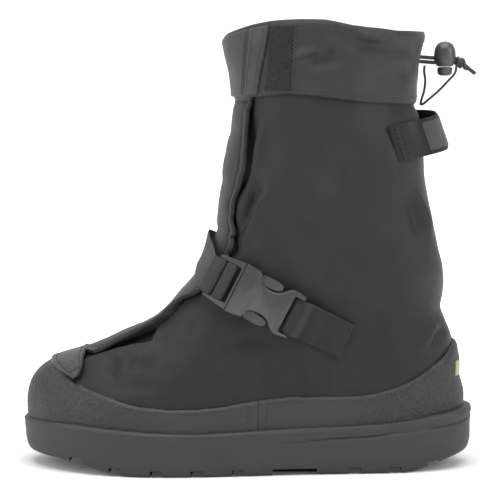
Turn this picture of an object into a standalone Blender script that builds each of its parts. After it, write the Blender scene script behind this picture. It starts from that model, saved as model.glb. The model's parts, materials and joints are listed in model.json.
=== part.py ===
"""Winter overshoe, left foot: a moulded rubber cup sole, a hollow nylon upper with a
rubberised rand, a front closure flap, a folded cuff with a drawcord, an instep strap
with a side-release buckle and a pull loop at the back.

Frame: +Z up, toe towards -X, heel towards +X, outer (lateral) side towards -Y.
The origin is on the floor under the middle of the sole. Sizes below are millimetres.
"""
import math

import bmesh
import bpy
import numpy as np
from mathutils import Vector
from mathutils.bvhtree import BVHTree

for old in list(bpy.data.objects):
    bpy.data.objects.remove(old)

# ------------------------------------------------------------------ driving sizes (mm)
MM = 0.001
SHIFT = (0.87, 1.14, 0.0)      # puts the origin under the middle of the whole shoe
GAP = 0.3            # clearance between pieces that touch
WALL = 1.5           # nylon upper with its lining
RAND = 1.6           # rubberised rand
PATCH = 1.4          # leather-look toe patch
FLAP = 1.8           # doubled front flap
CUFF = 1.9           # doubled cuff
TAB = 1.8            # hook-and-loop tab on the cuff
WEB_W, WEB_T = 25.0, 1.5      # strap webbing
LOOP_W, LOOP_T = 25.0, 2.0    # pull loop band
FLOOR_Z = 20.7       # inside floor of the cup sole
INSOLE_T = 4.0
EASE = 0.60          # extra room under the rand where the toe is tightly curved
LUG_DEPTH = 4.2
NOTCH_W = 8.2
AROUND = 44          # facets round a section

# ------------------------------------------------------------------ tables
# Sections of the upper, from the feather line to the top of the cuff. Each is a loop
# whose front and rear points lie on the shoe's centre plane.
#   front_x front_z rear_x rear_z half  bow  front_r rear_r square shaft
SECTIONS = [
    ("feather",    -150.5,  21.0, 146.0,  21.0, 50.0, 0.0, 42.0, 42.0, 2.2, 0.00),
    ("rim",        -151.4,  34.0, 146.0,  36.0, 50.0, 0.0, 42.0, 42.0, 2.2, 0.00),
    ("toe_wall",   -151.1,  47.0, 146.2,  49.5, 50.0, 0.0, 42.0, 42.0, 2.2, 0.00),
    ("toe_break",  -146.2,  59.6, 143.4,  61.0, 50.0, 0.0, 42.0, 42.0, 2.2, 0.02),
    ("toe_top",    -134.2,  69.0, 143.2,  72.0, 50.0, 0.0, 42.0, 42.0, 2.2, 0.05),
    ("patch",      -114.2,  75.5, 141.2,  82.0, 50.0, 0.0, 41.0, 42.0, 2.2, 0.12),
    ("ball",        -95.5,  82.2, 139.6,  91.0, 50.0, 0.0, 40.0, 43.0, 2.2, 0.22),
    ("vamp",        -77.2,  89.4, 136.0, 100.0, 50.0, 0.0, 39.0, 44.0, 2.25, 0.35),
    ("throat",      -63.4,  96.0, 133.0, 108.5, 50.0, 0.0, 38.0, 45.0, 2.3, 0.50),
    ("instep_1",    -53.6, 104.9, 134.2, 117.5, 50.0, 0.0, 34.0, 45.0, 2.4, 0.65),
    ("instep_2",    -43.2, 116.8, 135.0, 128.0, 50.5, 0.0, 32.0, 46.0, 2.45, 0.78),
    ("instep_3",    -32.6, 129.2, 134.0, 139.0, 51.0, 0.0, 32.0, 47.0, 2.5, 0.88),
    ("strap",       -24.8, 142.0, 131.0, 150.0, 51.5, 0.0, 34.0, 48.0, 2.5, 0.95),
    ("ankle",       -20.4, 158.0, 128.0, 162.0, 52.0, 0.0, 40.0, 50.0, 2.45, 1.00),
    ("shaft_1",     -18.6, 176.0, 124.7, 178.0, 52.5, 0.0, 44.0, 52.0, 2.35, 1.00),
    ("shaft_2",     -16.4, 196.0, 121.8, 196.0, 53.0, 0.0, 47.0, 53.0, 2.3, 1.00),
    ("shaft_3",     -12.6, 218.0, 120.2, 216.0, 53.0, 0.0, 49.0, 54.0, 2.25, 1.00),
    ("under_hem",    -9.0, 238.0, 117.2, 238.0, 52.5, 2.0, 50.0, 54.0, 2.2, 1.00),
    ("hem",          -7.4, 250.0, 112.8, 248.5, 51.0, 4.0, 50.0, 53.0, 2.2, 1.00),
    ("cuff_1",       -9.4, 264.0, 112.2, 264.0, 51.0, 5.0, 50.0, 53.0, 2.2, 1.00),
    ("cuff_2",      -13.0, 279.0, 113.8, 280.0, 52.0, 6.0, 51.0, 54.0, 2.2, 1.00),
    ("top",         -15.4, 292.6, 118.4, 297.0, 53.5, 8.0, 52.0, 56.0, 2.2, 1.00),
]
TOP = len(SECTIONS) - 1
UPPER_TOP = TOP - 0.25       # the upper ends just inside the cuff's edge

# Plan of the feather line: share of the length from the toe, lateral y, medial y.
FEATHER = [
    ("tip",       0.000,   8.0,  8.0),
    ("toe_1",     0.020, -12.5, 27.0),
    ("toe_2",     0.060, -28.0, 40.5),
    ("toe_3",     0.120, -41.0, 50.5),
    ("toe_4",     0.200, -51.0, 55.6),
    ("ball_med",  0.280, -55.6, 56.0),
    ("ball_lat",  0.360, -56.0, 53.0),
    ("waist_1",   0.460, -53.0, 46.0),
    ("waist_2",   0.560, -48.8, 40.8),
    ("waist_3",   0.660, -45.0, 39.0),
    ("heel_1",    0.760, -42.4, 39.6),
    ("heel_2",    0.850, -39.6, 38.8),
    ("heel_3",    0.920, -33.4, 33.4),
    ("heel_4",    0.965, -24.4, 25.0),
    ("heel_5",    0.990, -13.4, 14.6),
    ("back",      1.000,   0.8,  0.8),
]
CENTRE = [(-150.0, 8.0), (-125.0, 6.8), (-95.0, 4.2), (-60.0, 1.4), (-25.0, 0.0), (100.0, 0.0), (147.0, 0.8)]

# Sole wall, from the tread up to the rim: outset from the upper and height, on the
# sides, at the toe and at the heel.
#            side_out toe_out heel_out side_z toe_z heel_z
SOLE_WALL = [
    ("tread_edge",  2.6, -9.0, -10.0,  0.0,  7.4,  5.6),
    ("tread_round", 4.2, -1.4, -1.0,  1.6,  8.0,  7.4),
    ("low_wall",    5.6,  2.3,  5.0,  8.0, 10.6, 10.6),
    ("mid_wall",    6.0,  4.2,  7.4, 16.0, 17.0, 17.5),
    ("bead_under",  6.1,  5.0,  7.6, 24.0, 26.0, 29.0),
    ("bead",        6.3,  5.2,  8.5, 27.0, 29.2, 35.5),
]
RIM_OUT = (5.6, 4.6, 8.0)       # outset of the rim's top edge: side, toe, heel
# Height of the rim along the shoe.
RIM_Z = [(-156.0, 31.0), (-140.0, 32.4), (-124.0, 33.0), (-95.0, 31.7), (-63.0, 29.7), (-34.0, 28.9), (4.0, 30.4),
         (36.0, 31.6), (69.0, 32.4), (101.0, 34.6), (123.0, 37.6), (144.0, 40.3), (156.0, 41.0)]
# Centres of the side notches between the lugs, and their widths.
NOTCHES = [(-117.9, NOTCH_W), (-90.2, NOTCH_W), (-62.4, NOTCH_W), (-35.3, NOTCH_W), (-8.0, NOTCH_W), (30.9, 30.0),
           (70.4, NOTCH_W), (97.4, NOTCH_W), (123.8, NOTCH_W)]
# Upper edge of the rand seen from the side.
RAND_LINE = [(-124.0, 90.0), (-122.0, 66.0), (-119.5, 60.6), (-112.0, 57.4), (-94.0, 51.6), (-76.0, 46.9), (-57.0, 44.7), (-38.0, 44.4),
             (-19.0, 45.9), (0.0, 48.8), (22.0, 51.4), (45.0, 51.6), (68.0, 51.6), (85.0, 53.2), (97.0, 56.4), (107.0, 60.0), (115.0, 64.4),
             (125.0, 70.8), (134.0, 77.6), (140.0, 85.0), (150.0, 88.0)]
RAND_SEAM_X = 6.0
# Toe patch: share of its half width, front edge x, rear edge x.
TOE_PATCH = [(0.0, -135.5, -109.8), (0.35, -134.2, -110.6), (0.65, -129.5, -111.6), (0.88, -122.5, -111.8), (1.0, -117.5, -113.6)]
TOE_PATCH_HALF = 33.0
# Front flap: section number, lateral half width, medial half width, lift of the lateral
# edge, and how far the flap stands off over the folded gusset.
FRONT_FLAP = [(5.35, 22.0, 21.0, 0.2, 1.4), (6.0, 16.0, 20.0, 0.4, 2.0), (6.5, 13.0, 19.0, 0.6, 2.8), (7.5, 11.0, 19.0, 1.0, 3.0), (8.2, 13.0, 20.0, 1.2, 3.0),
              (9.0, 20.0, 21.0, 1.2, 2.4), (10.0, 28.0, 22.0, 1.0, 2.2), (10.6, 31.0, 23.0, 0.8, 1.8), (11.2, 33.0, 24.0, 0.8, 1.8), (12.0, 36.0, 25.0, 0.8, 2.0), (12.6, 37.0, 25.5, 0.8, 1.4),
              (13.2, 38.0, 26.0, 1.0, 0.0), (14.0, 36.5, 26.5, 1.4, 0.0), (15.0, 38.0, 27.0, 1.6, 0.0), (16.0, 37.0, 27.5, 1.4, 0.0), (17.75, 32.0, 28.0, 1.0, 0.0)]
FLAP_ROWS = [5.35, 6, 6.5, 7, 7.5, 8, 8.5, 9, 9.5, 10, 10.6, 11.2, 12, 13, 14, 15, 16, 17, 17.75]
# Tab on the cuff, on the outer side: section number, x of its front edge and of its rear edge.
CUFF_TAB = [(18.2, -7.0, 8.6), (18.5, -7.3, 9.0), (19.0, -8.2, 9.8), (20.0, -10.4, 12.4), (20.6, -11.0, 14.0), (20.85, -11.2, 14.6)]
# Side-release buckle: the left end of its axis and the axis itself, seen from the side.
BUCKLE_AT = (-23.7, 135.0)
BUCKLE_SLOPE = 27.2          # degrees down towards the heel
BUCKLE_L, BUCKLE_T = 63.0, 8.4
BUCKLE_LIFT = 1.0            # least distance from the upper to its underside
MALE_L, MALE_HALF = 18.0, 15.0
# Outline of the socket half: along the axis, half width.
SOCKET = [("mouth", 18.3, 17.4), ("side", 28.6, 16.6), ("bay_1", 30.2, 12.6), ("bay_2", 33.0, 9.9), ("bay_3", 37.5, 8.7), ("bay_4", 42.5, 8.6),
          ("bay_5", 46.6, 10.2), ("bay_6", 49.6, 13.6), ("ear_1", 52.6, 16.0), ("ear_2", 57.0, 16.2), ("ear_tip", 63.0, 14.8)]
SLOT_HALF = 12.9             # half width of the webbing slots
# Instep strap from the inner side over the front. On the inner side a row gives x and z, at
# the front the section number and y; then the height off the upper.
STRAP_INNER = [("anchor", 50.0, 97.0, GAP), ("sewn_end", 30.0, 107.0, GAP), ("inner_side", 4.0, 120.0, GAP + 0.5), ("inner_front", -13.0, 131.0, GAP + 1.8)]
STRAP_FRONT = [("inner_edge", 11.95, 33.0, 4.4), ("inner_top", 12.22, 17.0, 6.0), ("instep", 12.3, 0.0, 6.4), ("outer_top", 12.15, -15.0, 6.4), ("outer_edge", 11.82, -27.0, 6.6)]
# Webbing in the frame of the buckle: along the axis, height over its underside.
LADDER = [("in", -3.6, 5.8), ("over_end_bar", -0.2, 6.9), ("over_end_bar_2", 2.4, 6.8), ("slot_1_top", 4.4, 5.4), ("slot_1_low", 4.6, 2.8), ("under_bar", 5.9, 1.15),
          ("under_bar_2", 9.6, 1.1), ("slot_2_low", 12.1, 1.7), ("slot_2", 12.6, 3.8), ("slot_2_top", 12.1, 6.0), ("over_bar", 9.6, 6.5), ("tail_end", 6.9, 6.5)]
# Heel-side webbing: along the axis, height over the underside, or over the upper when sewn.
TAB_STRAP = [("hem", 74.0, 0, 1), ("rising", 69.0, 0, 1), ("to_bar", 64.5, 0.9, 0), ("under_bar", 61.0, 1.1, 0), ("slot_low", 58.4, 1.5, 0), ("slot", 57.8, 3.9, 0),
             ("slot_top", 58.4, 6.2, 0), ("over_bar", 61.0, 6.6, 0), ("leaving", 64.5, 6.2, 0), ("falling_1", 69.0, 3.3, 1), ("falling_2", 73.0, 2.9, 1), ("falling_3", 77.0, 1.9, 1),
             ("sewn_1", 81.0, 0.25, 1), ("sewn_2", 87.0, 0, 1), ("sewn_3", 93.0, 0, 1), ("end", 99.5, 0, 1)]
# Pull loop: x, z and side of the points sewn to the upper, then free points, then sewn ones.
LOOP_SEWN = [("outer_1", 95.5, 220.5, -1), ("outer_2", 101.5, 221.8, -1), ("outer_3", 107.0, 223.0, -1)]
LOOP_FREE = [("free_1", 115.5, -28.8, 224.6), ("free_2", 122.8, -23.6, 226.2), ("bend_1", 129.8, -14.8, 228.0), ("bend", 132.4, -3.0, 229.6), ("bend_2", 131.6, 9.2, 231.0),
             ("free_3", 126.6, 18.4, 231.6), ("free_4", 117.5, 26.0, 231.6)]
LOOP_SEWN_IN = [("inner_3", 107.0, 231.0, 1), ("inner_2", 101.5, 230.0, 1), ("inner_1", 95.5, 229.0, 1)]
LOOP_LEAN = (-0.33, 0.0, 0.944)      # direction of the band's width
# Cord lock: turned body and button, radius and height.
LOCK_X, LOCK_Y = 134.4, 0.0
LOCK_BODY = [(0.0, 273.0), (5.7, 273.0), (6.2, 274.4), (7.3, 276.0), (7.6, 280.0), (7.2, 284.6), (5.6, 288.0), (3.2, 289.7), (0.0, 290.2)]
LOCK_BUTTON = [(0.0, 266.6), (3.6, 266.8), (4.9, 268.0), (5.2, 270.0), (5.2, 272.7), (0.0, 272.7)]
CORD_D = 2.6
CORD_Z = (278.9, 275.8)      # heights of the two strands in the lock
KNOT = (145.6, 0.0, 275.6)
TAIL = [(147.4, -0.3, 274.2), (151.0, -1.0, 271.4), (155.0, -1.6, 268.2)]
KEEPER_D = 1.7
KEEPER = [(142.0, -3.8, 274.6), (141.4, -4.0, 269.6), (136.0, -4.2, 262.8), (128.8, -3.6, 255.4), (123.0, -2.6, 250.4), (119.4, -1.2, 247.4), (118.2, 0.4, 247.2),
          (118.6, 1.4, 250.0), (120.4, 1.6, 256.0), (121.2, 1.2, 264.0), (120.4, 0.8, 270.0), (120.6, 0.6, 273.6)]



# ------------------------------------------------------------------ small mathematics
def smooth(xs, ys):
    """A smooth curve through table points, as a function of x."""
    xs, ys = np.asarray(xs, float), np.asarray(ys, float)
    d = np.diff(ys, axis=0) / np.diff(xs).reshape((-1,) + (1,) * (ys.ndim - 1))
    h = np.diff(xs)
    m = np.empty_like(ys)
    w = (h[1:] / (h[1:] + h[:-1])).reshape((-1,) + (1,) * (ys.ndim - 1))
    m[1:-1] = d[:-1] * w + d[1:] * (1 - w)
    m[0], m[-1] = d[0], d[-1]

    def curve(x):
        x = np.clip(np.asarray(x, float), xs[0], xs[-1])
        i = np.clip(np.searchsorted(xs, x, side="right") - 1, 0, len(xs) - 2)
        hh = xs[i + 1] - xs[i]
        s = (x - xs[i]) / hh
        if ys.ndim > 1:
            s, hh = s[..., None], hh[..., None]
        return ((2 * s**3 - 3 * s**2 + 1) * ys[i] + (s**3 - 2 * s**2 + s) * hh * m[i]
                + (3 * s**2 - 2 * s**3) * ys[i + 1] + (s**3 - s**2) * hh * m[i + 1])

    return curve


def table(rows, first=1):
    """The numbers of a table whose rows start with a name."""
    return np.array([r[first:] for r in rows], float)


def ease(x, a, b):
    s = np.clip((np.asarray(x, float) - a) / (b - a), 0, 1)
    return s * s * (3 - 2 * s)


def unit(v):
    v = np.asarray(v, float)
    return v / np.maximum(np.linalg.norm(v, axis=-1, keepdims=True), 1e-12)


# ------------------------------------------------------------------ the upper's surface
section = smooth(np.arange(len(SECTIONS)), table(SECTIONS))
_dense = section(np.linspace(0, TOP, 12 * TOP + 1))
FRONT_CURVE, REAR_CURVE = _dense[:, 0:2], _dense[:, 2:4]
centre_y = smooth(*np.array(CENTRE).T)
rim_z = smooth(*np.array(RIM_Z).T)
_feather = table(FEATHER)
_share_angle = np.arccos(1 - 2 * _feather[:, 0])
feather_y = smooth(_share_angle, _feather[:, 1:3])


def away(points, curve):
    """Distance of points from a polyline, in the side view."""
    a, b = curve[:-1], curve[1:]
    d = b - a
    out = np.empty(len(points))
    for k in range(0, len(points), 4000):
        p = points[k:k + 4000, None, :]
        t = np.clip(((p - a) * d).sum(-1) / (d * d).sum(-1), 0, 1)
        out[k:k + 4000] = np.sqrt((((a + t[..., None] * d) - p) ** 2).sum(-1)).min(1)
    return out


def swell(distance, radius, square):
    """Rounding of the form near its outline: 0 on it, 1 a radius inside."""
    s = np.clip(distance / radius, 0, 1)
    return (1 - (1 - s) ** square) ** (1 / square)


def rounding(x, z, row):
    points = np.stack([x, z], -1)
    return (swell(away(points, FRONT_CURVE), row[..., 6], row[..., 8])
            * swell(away(points, REAR_CURVE), row[..., 7], row[..., 8]))


# Width of the form along the feather line with its end rounding taken out.
_a = np.linspace(0.004, math.pi - 0.004, 400)
_row0 = np.repeat(section(np.zeros(1)), len(_a), 0)
_bx = _row0[:, 0] + (_row0[:, 2] - _row0[:, 0]) * (1 - np.cos(_a)) / 2
_by = feather_y(_a)
_be = rounding(_bx, _row0[:, 1], _row0)
_full = np.stack([(centre_y(_bx) - _by[:, 0]) / _be, (_by[:, 1] - centre_y(_bx)) / _be], -1)


def skin(v, phi, out=0.0):
    """Point of the upper's outside. v is the section number; phi runs from 0 at the toe
    to pi at the heel, positive on the lateral side. out moves it along the normal."""
    v, phi = np.broadcast_arrays(np.asarray(v, float), np.asarray(phi, float))
    shape = v.shape

    def at(v, phi):
        r = section(v)
        t = (1 - np.cos(phi)) / 2
        x = r[:, 0] + (r[:, 2] - r[:, 0]) * t
        z = r[:, 1] + (r[:, 3] - r[:, 1]) * t + r[:, 5] * 4 * t * (1 - t)
        lateral = np.where(np.sin(phi) >= 0, 1.0, 0.0)
        base = np.where(lateral > 0, np.interp(x, _bx, _full[:, 0]), np.interp(x, _bx, _full[:, 1]))
        wide = (1 - r[:, 9]) * base + r[:, 9] * r[:, 4]
        y = centre_y(x) * (1 - r[:, 9]) + wide * rounding(x, z, r) * np.where(lateral > 0, -1.0, 1.0)
        return np.stack([x, y, z], -1)

    v, phi = v.ravel(), phi.ravel()
    p = at(v, phi)
    if np.any(out):
        e = 0.02
        dv = at(np.minimum(v + e, TOP), phi) - at(np.maximum(v - e, 0), phi)
        dp = at(v, phi + e) - at(v, phi - e)
        n = unit(np.cross(dp, dv))
        p = p + n * np.broadcast_to(out, shape).reshape(-1, 1)
    return p.reshape(shape + (3,))


def phi_at_y(v, y, rear=False):
    """Angle at which section v has the given y, in the front half or the rear half."""
    a = np.linspace(1e-4, math.pi / 2, 240) * (-1 if y > 0 else 1)
    if rear:
        a = np.sign(a) * (math.pi - np.abs(a))
    ys = skin(np.full(len(a), v), a)[:, 1]
    return float(np.interp(abs(y), np.abs(ys), a))


def phi_at_x(v, x, side):
    """Angle at which section v has the given x."""
    r = section(np.array([v]))[0]
    return side * math.acos(1 - 2 * np.clip((x - r[0]) / (r[2] - r[0]), 0, 1))


# A fine copy of the surface, to drape pieces on.
_gv, _gp = np.meshgrid(np.linspace(0, TOP, 8 * TOP + 1), np.linspace(-math.pi, math.pi, 193)[:-1], indexing="ij")
_grid = skin(_gv, _gp)
_rows, _cols = _grid.shape[:2]
_tree = BVHTree.FromPolygons(
    [tuple(p) for p in _grid.reshape(-1, 3)],
    [(i * _cols + j, i * _cols + (j + 1) % _cols, (i + 1) * _cols + (j + 1) % _cols, (i + 1) * _cols + j)
     for i in range(_rows - 1) for j in range(_cols)])


def cast(origin, direction, out=0.0):
    """Where a ray from inside or outside meets the surface, moved out along the normal."""
    hit, normal, _, _ = _tree.ray_cast(Vector(origin), Vector(direction))
    hit, normal = np.array(hit), np.array(normal)
    inside = np.array([section(np.array([12.0]))[0][0] + 70, 0, hit[2]])
    if normal @ (hit - inside) < 0:
        normal = -normal
    return hit + normal * out


# ------------------------------------------------------------------ mesh helpers
def material(name, colour, roughness, metallic=0.0):
    m = bpy.data.materials.new(name)
    m.use_nodes = True
    shader = m.node_tree.nodes["Principled BSDF"]
    shader.inputs["Base Color"].default_value = (*colour, 1)
    shader.inputs["Roughness"].default_value = roughness
    shader.inputs["Metallic"].default_value = metallic
    return m


MATERIALS = {
    "rubber": material("rubber", (0.050, 0.049, 0.050), 0.62),
    "rand": material("rand", (0.044, 0.043, 0.044), 0.70),
    "nylon": material("nylon", (0.028, 0.028, 0.030), 0.58),
    "webbing": material("webbing", (0.036, 0.035, 0.035), 0.85),
    "acetal": material("acetal", (0.075, 0.073, 0.073), 0.40),
    "liner": material("liner", (0.020, 0.020, 0.021), 0.90),
    "cord": material("cord", (0.022, 0.021, 0.022), 0.80),
}


def add(name, verts, faces, slot, soft=True):
    """An object from points in millimetres, with its faces turned outwards."""
    bm = bmesh.new()
    vs = [bm.verts.new(tuple((float(c) + d) * MM for c, d in zip(p, SHIFT))) for p in verts]
    for f in faces:
        ids = []
        for k in f:
            if k not in ids:
                ids.append(k)
        if len(ids) > 2:
            bm.faces.new([vs[k] for k in ids])
    bmesh.ops.recalc_face_normals(bm, faces=bm.faces)
    mesh = bpy.data.meshes.new(name)
    bm.to_mesh(mesh)
    bm.free()
    if soft:
        mesh.shade_smooth()
        mesh.set_sharp_from_angle(angle=math.radians(35))
    obj = bpy.data.objects.new(name, mesh)
    obj.data.materials.append(MATERIALS[slot])
    bpy.context.scene.collection.objects.link(obj)
    return obj


def cutter(name, verts, faces):
    obj = add(name, verts, faces, "liner", soft=False)
    obj.hide_render = True
    obj.display_type = "WIRE"
    return obj


def cut(obj, tool, operation="DIFFERENCE"):
    mod = obj.modifiers.new(tool.name, "BOOLEAN")
    mod.operation = operation
    mod.object = tool
    mod.solver = "EXACT"


def ladder(ids):
    """Faces across a closed loop that starts at the toe, joining its two sides."""
    n = len(ids)
    return [(ids[i], ids[i + 1], ids[(n - i - 1) % n], ids[(n - i) % n]) for i in range(n // 2)]


def stack(loops, start="cap", end="cap"):
    """Points and faces of a stack of equal closed loops."""
    n = len(loops[0])
    verts = np.concatenate(loops)
    faces = []
    for k in range(len(loops) - 1):
        faces += [(k * n + i, k * n + (i + 1) % n, (k + 1) * n + (i + 1) % n, (k + 1) * n + i) for i in range(n)]
    if start == "cap":
        faces += ladder(list(range(n)))
    if end == "cap":
        faces += ladder([(len(loops) - 1) * n + i for i in range(n)])
    return verts, faces


def tube_wall(outer, inner):
    """A closed wall between two grids [level][around] that both close on themselves."""
    levels, n = outer.shape[:2]
    verts = np.concatenate([outer.reshape(-1, 3), inner.reshape(-1, 3)])
    o, m = 0, levels * n
    faces = []
    for k in range(levels - 1):
        for i in range(n):
            j = (i + 1) % n
            faces.append((o + k * n + i, o + k * n + j, o + (k + 1) * n + j, o + (k + 1) * n + i))
            faces.append((m + k * n + i, m + k * n + j, m + (k + 1) * n + j, m + (k + 1) * n + i))
    for k in (0, levels - 1):
        for i in range(n):
            j = (i + 1) % n
            faces.append((o + k * n + i, o + k * n + j, m + k * n + j, m + k * n + i))
    return verts, faces


def sheet_solid(outer, inner):
    """A closed slab between two grids [row][column] with four open edges."""
    a, b = outer.shape[:2]
    verts = np.concatenate([outer.reshape(-1, 3), inner.reshape(-1, 3)])
    m = a * b
    faces = []
    for i in range(a - 1):
        for j in range(b - 1):
            faces.append((i * b + j, i * b + j + 1, (i + 1) * b + j + 1, (i + 1) * b + j))
            faces.append((m + i * b + j, m + i * b + j + 1, m + (i + 1) * b + j + 1, m + (i + 1) * b + j))
    rim = ([(0, j) for j in range(b)] + [(i, b - 1) for i in range(1, a)]
           + [(a - 1, j) for j in range(b - 2, -1, -1)] + [(i, 0) for i in range(a - 2, 0, -1)])
    for (i, j), (k, l) in zip(rim, rim[1:] + rim[:1]):
        faces.append((i * b + j, k * b + l, m + k * b + l, m + i * b + j))
    return verts, faces


def plan_normals(loop):
    """Outward normals of a closed plan loop."""
    d = np.roll(loop, -1, 0) - np.roll(loop, 1, 0)
    n = unit(np.stack([-d[:, 1], d[:, 0]], -1))
    c = loop.mean(0)
    return np.where(((loop - c) * n).sum(-1, keepdims=True) < 0, -n, n)


PHI = np.concatenate([np.linspace(0, math.pi, AROUND // 2 + 1), -np.linspace(0, math.pi, AROUND // 2 + 1)[-2:0:-1]])



def span(a, b):
    """Angles from a to b with those of the sections' own points between them."""
    ring = np.concatenate([PHI[AROUND // 2 + 1:] - 2 * math.pi * (PHI[AROUND // 2 + 1:] > 0), PHI[:AROUND // 2 + 1], PHI[AROUND // 2 + 1:] + 2 * math.pi])
    inner = np.unique(np.round(ring[(ring > a + 0.03) & (ring < b - 0.03)], 9))
    return np.concatenate([[a], inner, [b]])


# ------------------------------------------------------------------ the upper
levels = np.array([0, 1, 2, 3, 4, 5, 6, 7, 8, 9, 10, 11, 12, 13, 14, 15.5, 17, 18, 18.5, 19, 20, UPPER_TOP])
gv, gp = np.meshgrid(levels, PHI, indexing="ij")
add("upper", *tube_wall(skin(gv, gp), skin(gv, gp, -WALL)), "nylon")

# ------------------------------------------------------------------ the rand, in two halves
def rand_top(phi):
    """Section number at which the rand ends."""
    vs = np.linspace(0.5, 7.5, 141)
    p = skin(vs, np.full(len(vs), phi))
    line = smooth(*np.array(RAND_LINE).T)(p[:, 0])
    over = np.flatnonzero(p[:, 2] >= line)
    return float(vs[over[0]]) if len(over) else float(vs[-1])


def rand_piece(name, front):
    """Half of the rand: round the toe or round the heel, between the two side seams."""
    seam = {s: phi_at_x(1.0, RAND_SEAM_X + (-GAP / 2 if front else GAP / 2), s) for s in (1, -1)}
    phis = span(seam[-1], seam[1]) if front else span(seam[1], 2 * math.pi + seam[-1])
    outer, inner = [], []
    for phi in phis:
        wrapped = phi if phi <= math.pi else phi - 2 * math.pi
        vs = np.linspace(0.02, rand_top(wrapped), 7)
        ph = np.full(len(vs), wrapped)
        outer.append(skin(vs, ph, GAP + EASE + RAND))
        inner.append(skin(vs, ph, GAP + EASE))
    return add(name, *sheet_solid(np.array(outer), np.array(inner)), "rand")


rand_piece("rand_front", True)
rand_piece("rand_rear", False)

# ------------------------------------------------------------------ the cup sole
base = skin(np.full(AROUND, 0.5), PHI)[:, :2]
base_n = plan_normals(base)
heel_share = ease(base[:, 0], 100.0, 146.0)
toe_share = ease(-base[:, 0], 85.0, 149.0)
heel_rise = ease(base[:, 0], 104.0, 148.0)
toe_rise = ease(-base[:, 0], 75.0, 132.0)


def sole_loop(side, toe, heel, side_z, toe_z, heel_z, z=None):
    out = side + (toe - side) * toe_share + (heel - side) * heel_share
    p = base + base_n * out[:, None]
    height = side_z + (toe_z - side_z) * toe_rise + (heel_z - side_z) * heel_rise if z is None else z
    return np.concatenate([p, np.broadcast_to(np.asarray(height, float).reshape(-1, 1), (AROUND, 1))], 1)


loops = [sole_loop(*row) for row in table(SOLE_WALL)]
rim = rim_z(base[:, 0])
clear = 2 * GAP + EASE + RAND     # from the upper to the inside of the cup
loops.append(sole_loop(*RIM_OUT, 0, 0, 0, z=rim - 0.7))
loops.append(sole_loop(RIM_OUT[0] - 0.8, RIM_OUT[1] - 0.7, RIM_OUT[2] - 0.9, 0, 0, 0, z=rim))
loops.append(sole_loop(clear + 0.25, clear + 0.25, clear + 0.25, 0, 0, 0, z=rim))
loops.append(sole_loop(clear + 0.2, clear + 0.2, clear + 0.2, 0, 0, 0, z=FLOOR_Z))
outsole = add("outsole", *stack(loops), "rubber")


def tread_z(x):
    """Height of the tread's surface along the shoe."""
    return 7.4 * ease(-x, 75.0, 132.0) + 5.6 * ease(x, 104.0, 148.0)


def prism(plan, low, high):
    """A block with a plan outline."""
    plan = np.asarray(plan, float)
    n = len(plan)
    verts = np.concatenate([np.c_[plan, np.full(n, low)], np.c_[plan, np.full(n, high)]])
    faces = [tuple(range(n))[::-1], tuple(range(n, 2 * n))]
    faces += [(i, (i + 1) % n, n + (i + 1) % n, n + i) for i in range(n)]
    return verts, faces


def gather(parts):
    verts, faces, at = [], [], 0
    for v, f in parts:
        verts.append(v)
        faces += [tuple(k + at for k in face) for face in f]
        at += len(v)
    return np.concatenate(verts), faces


def edge_y(x, side, inset):
    """y of the sole's wall just above the tread, moved in."""
    loop = sole_loop(*table(SOLE_WALL)[2])
    half = loop[:AROUND // 2 + 1] if side < 0 else np.concatenate([loop[AROUND // 2:], loop[:1]])[::-1]
    return float(np.interp(x, half[:, 0], half[:, 1])) - side * inset


SIDE_LUG = 21.0      # how far the side notches run in
notches = []
for x, width in NOTCHES:
    top = float(tread_z(np.array(x))) + LUG_DEPTH
    for side in (-1, 1):
        deep = SIDE_LUG if width < 20 else 13.0
        inner = edge_y(x, side, deep)
        lean = 2.0 if width < 20 else 0.0
        h = width / 2
        notches.append(prism([(x - h + lean, inner), (x + h + lean, inner), (x + h, side * 80.0), (x - h, side * 80.0)], -6.0, top))
cut(outsole, cutter("notch_tool", *gather(notches)))

bars = []
for x in (-104.0, -76.5, -49.0, -21.5, 6.0, 56.0, 84.0, 110.5):
    top = float(tread_z(np.array(x))) + LUG_DEPTH - 0.4
    a, b = edge_y(x, -1, SIDE_LUG + 4.0), edge_y(x, 1, SIDE_LUG + 4.0)
    mid = (a + b) / 2
    h = 3.0
    bars.append(prism([(x - h + 5, a), (x + h + 5, a), (x + h - 3, mid), (x + h + 5, b), (x - h + 5, b), (x - h - 3, mid)], -6.0, top))
cut(outsole, cutter("chevron_tool", *gather(bars)))

# ------------------------------------------------------------------ the insole
inset = WALL + 0.5
insole_loops = []
for z, more in ((FLOOR_Z + GAP, 0.0), (FLOOR_Z + GAP + INSOLE_T, 0.0)):
    ring = skin(np.full(AROUND, 0.1), PHI)[:, :2]
    ring = ring - plan_normals(ring) * (inset + more)
    insole_loops.append(np.c_[ring, np.full(AROUND, z)])
add("insole", *stack(insole_loops), "liner")

# ------------------------------------------------------------------ the toe patch
def patch_grid(out):
    rows = []
    across = np.linspace(-1, 1, 11)
    front = smooth(*np.array([(r[0], r[1]) for r in TOE_PATCH]).T)
    rear = smooth(*np.array([(r[0], r[2]) for r in TOE_PATCH]).T)
    for a in across:
        x0, x1 = float(front(abs(a))), float(rear(abs(a)))
        row = []
        for s in np.linspace(0, 1, 5):
            x = x0 + (x1 - x0) * s
            row.append(cast((x, float(centre_y(x)) * 0.9 + a * TOE_PATCH_HALF, 160.0), (0, 0, -1), out))
        rows.append(row)
    return np.array(rows)


low = 2 * GAP + 0.1 + EASE + RAND
add("toe_patch", *sheet_solid(patch_grid(low + PATCH), patch_grid(low)), "rand")

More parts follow.
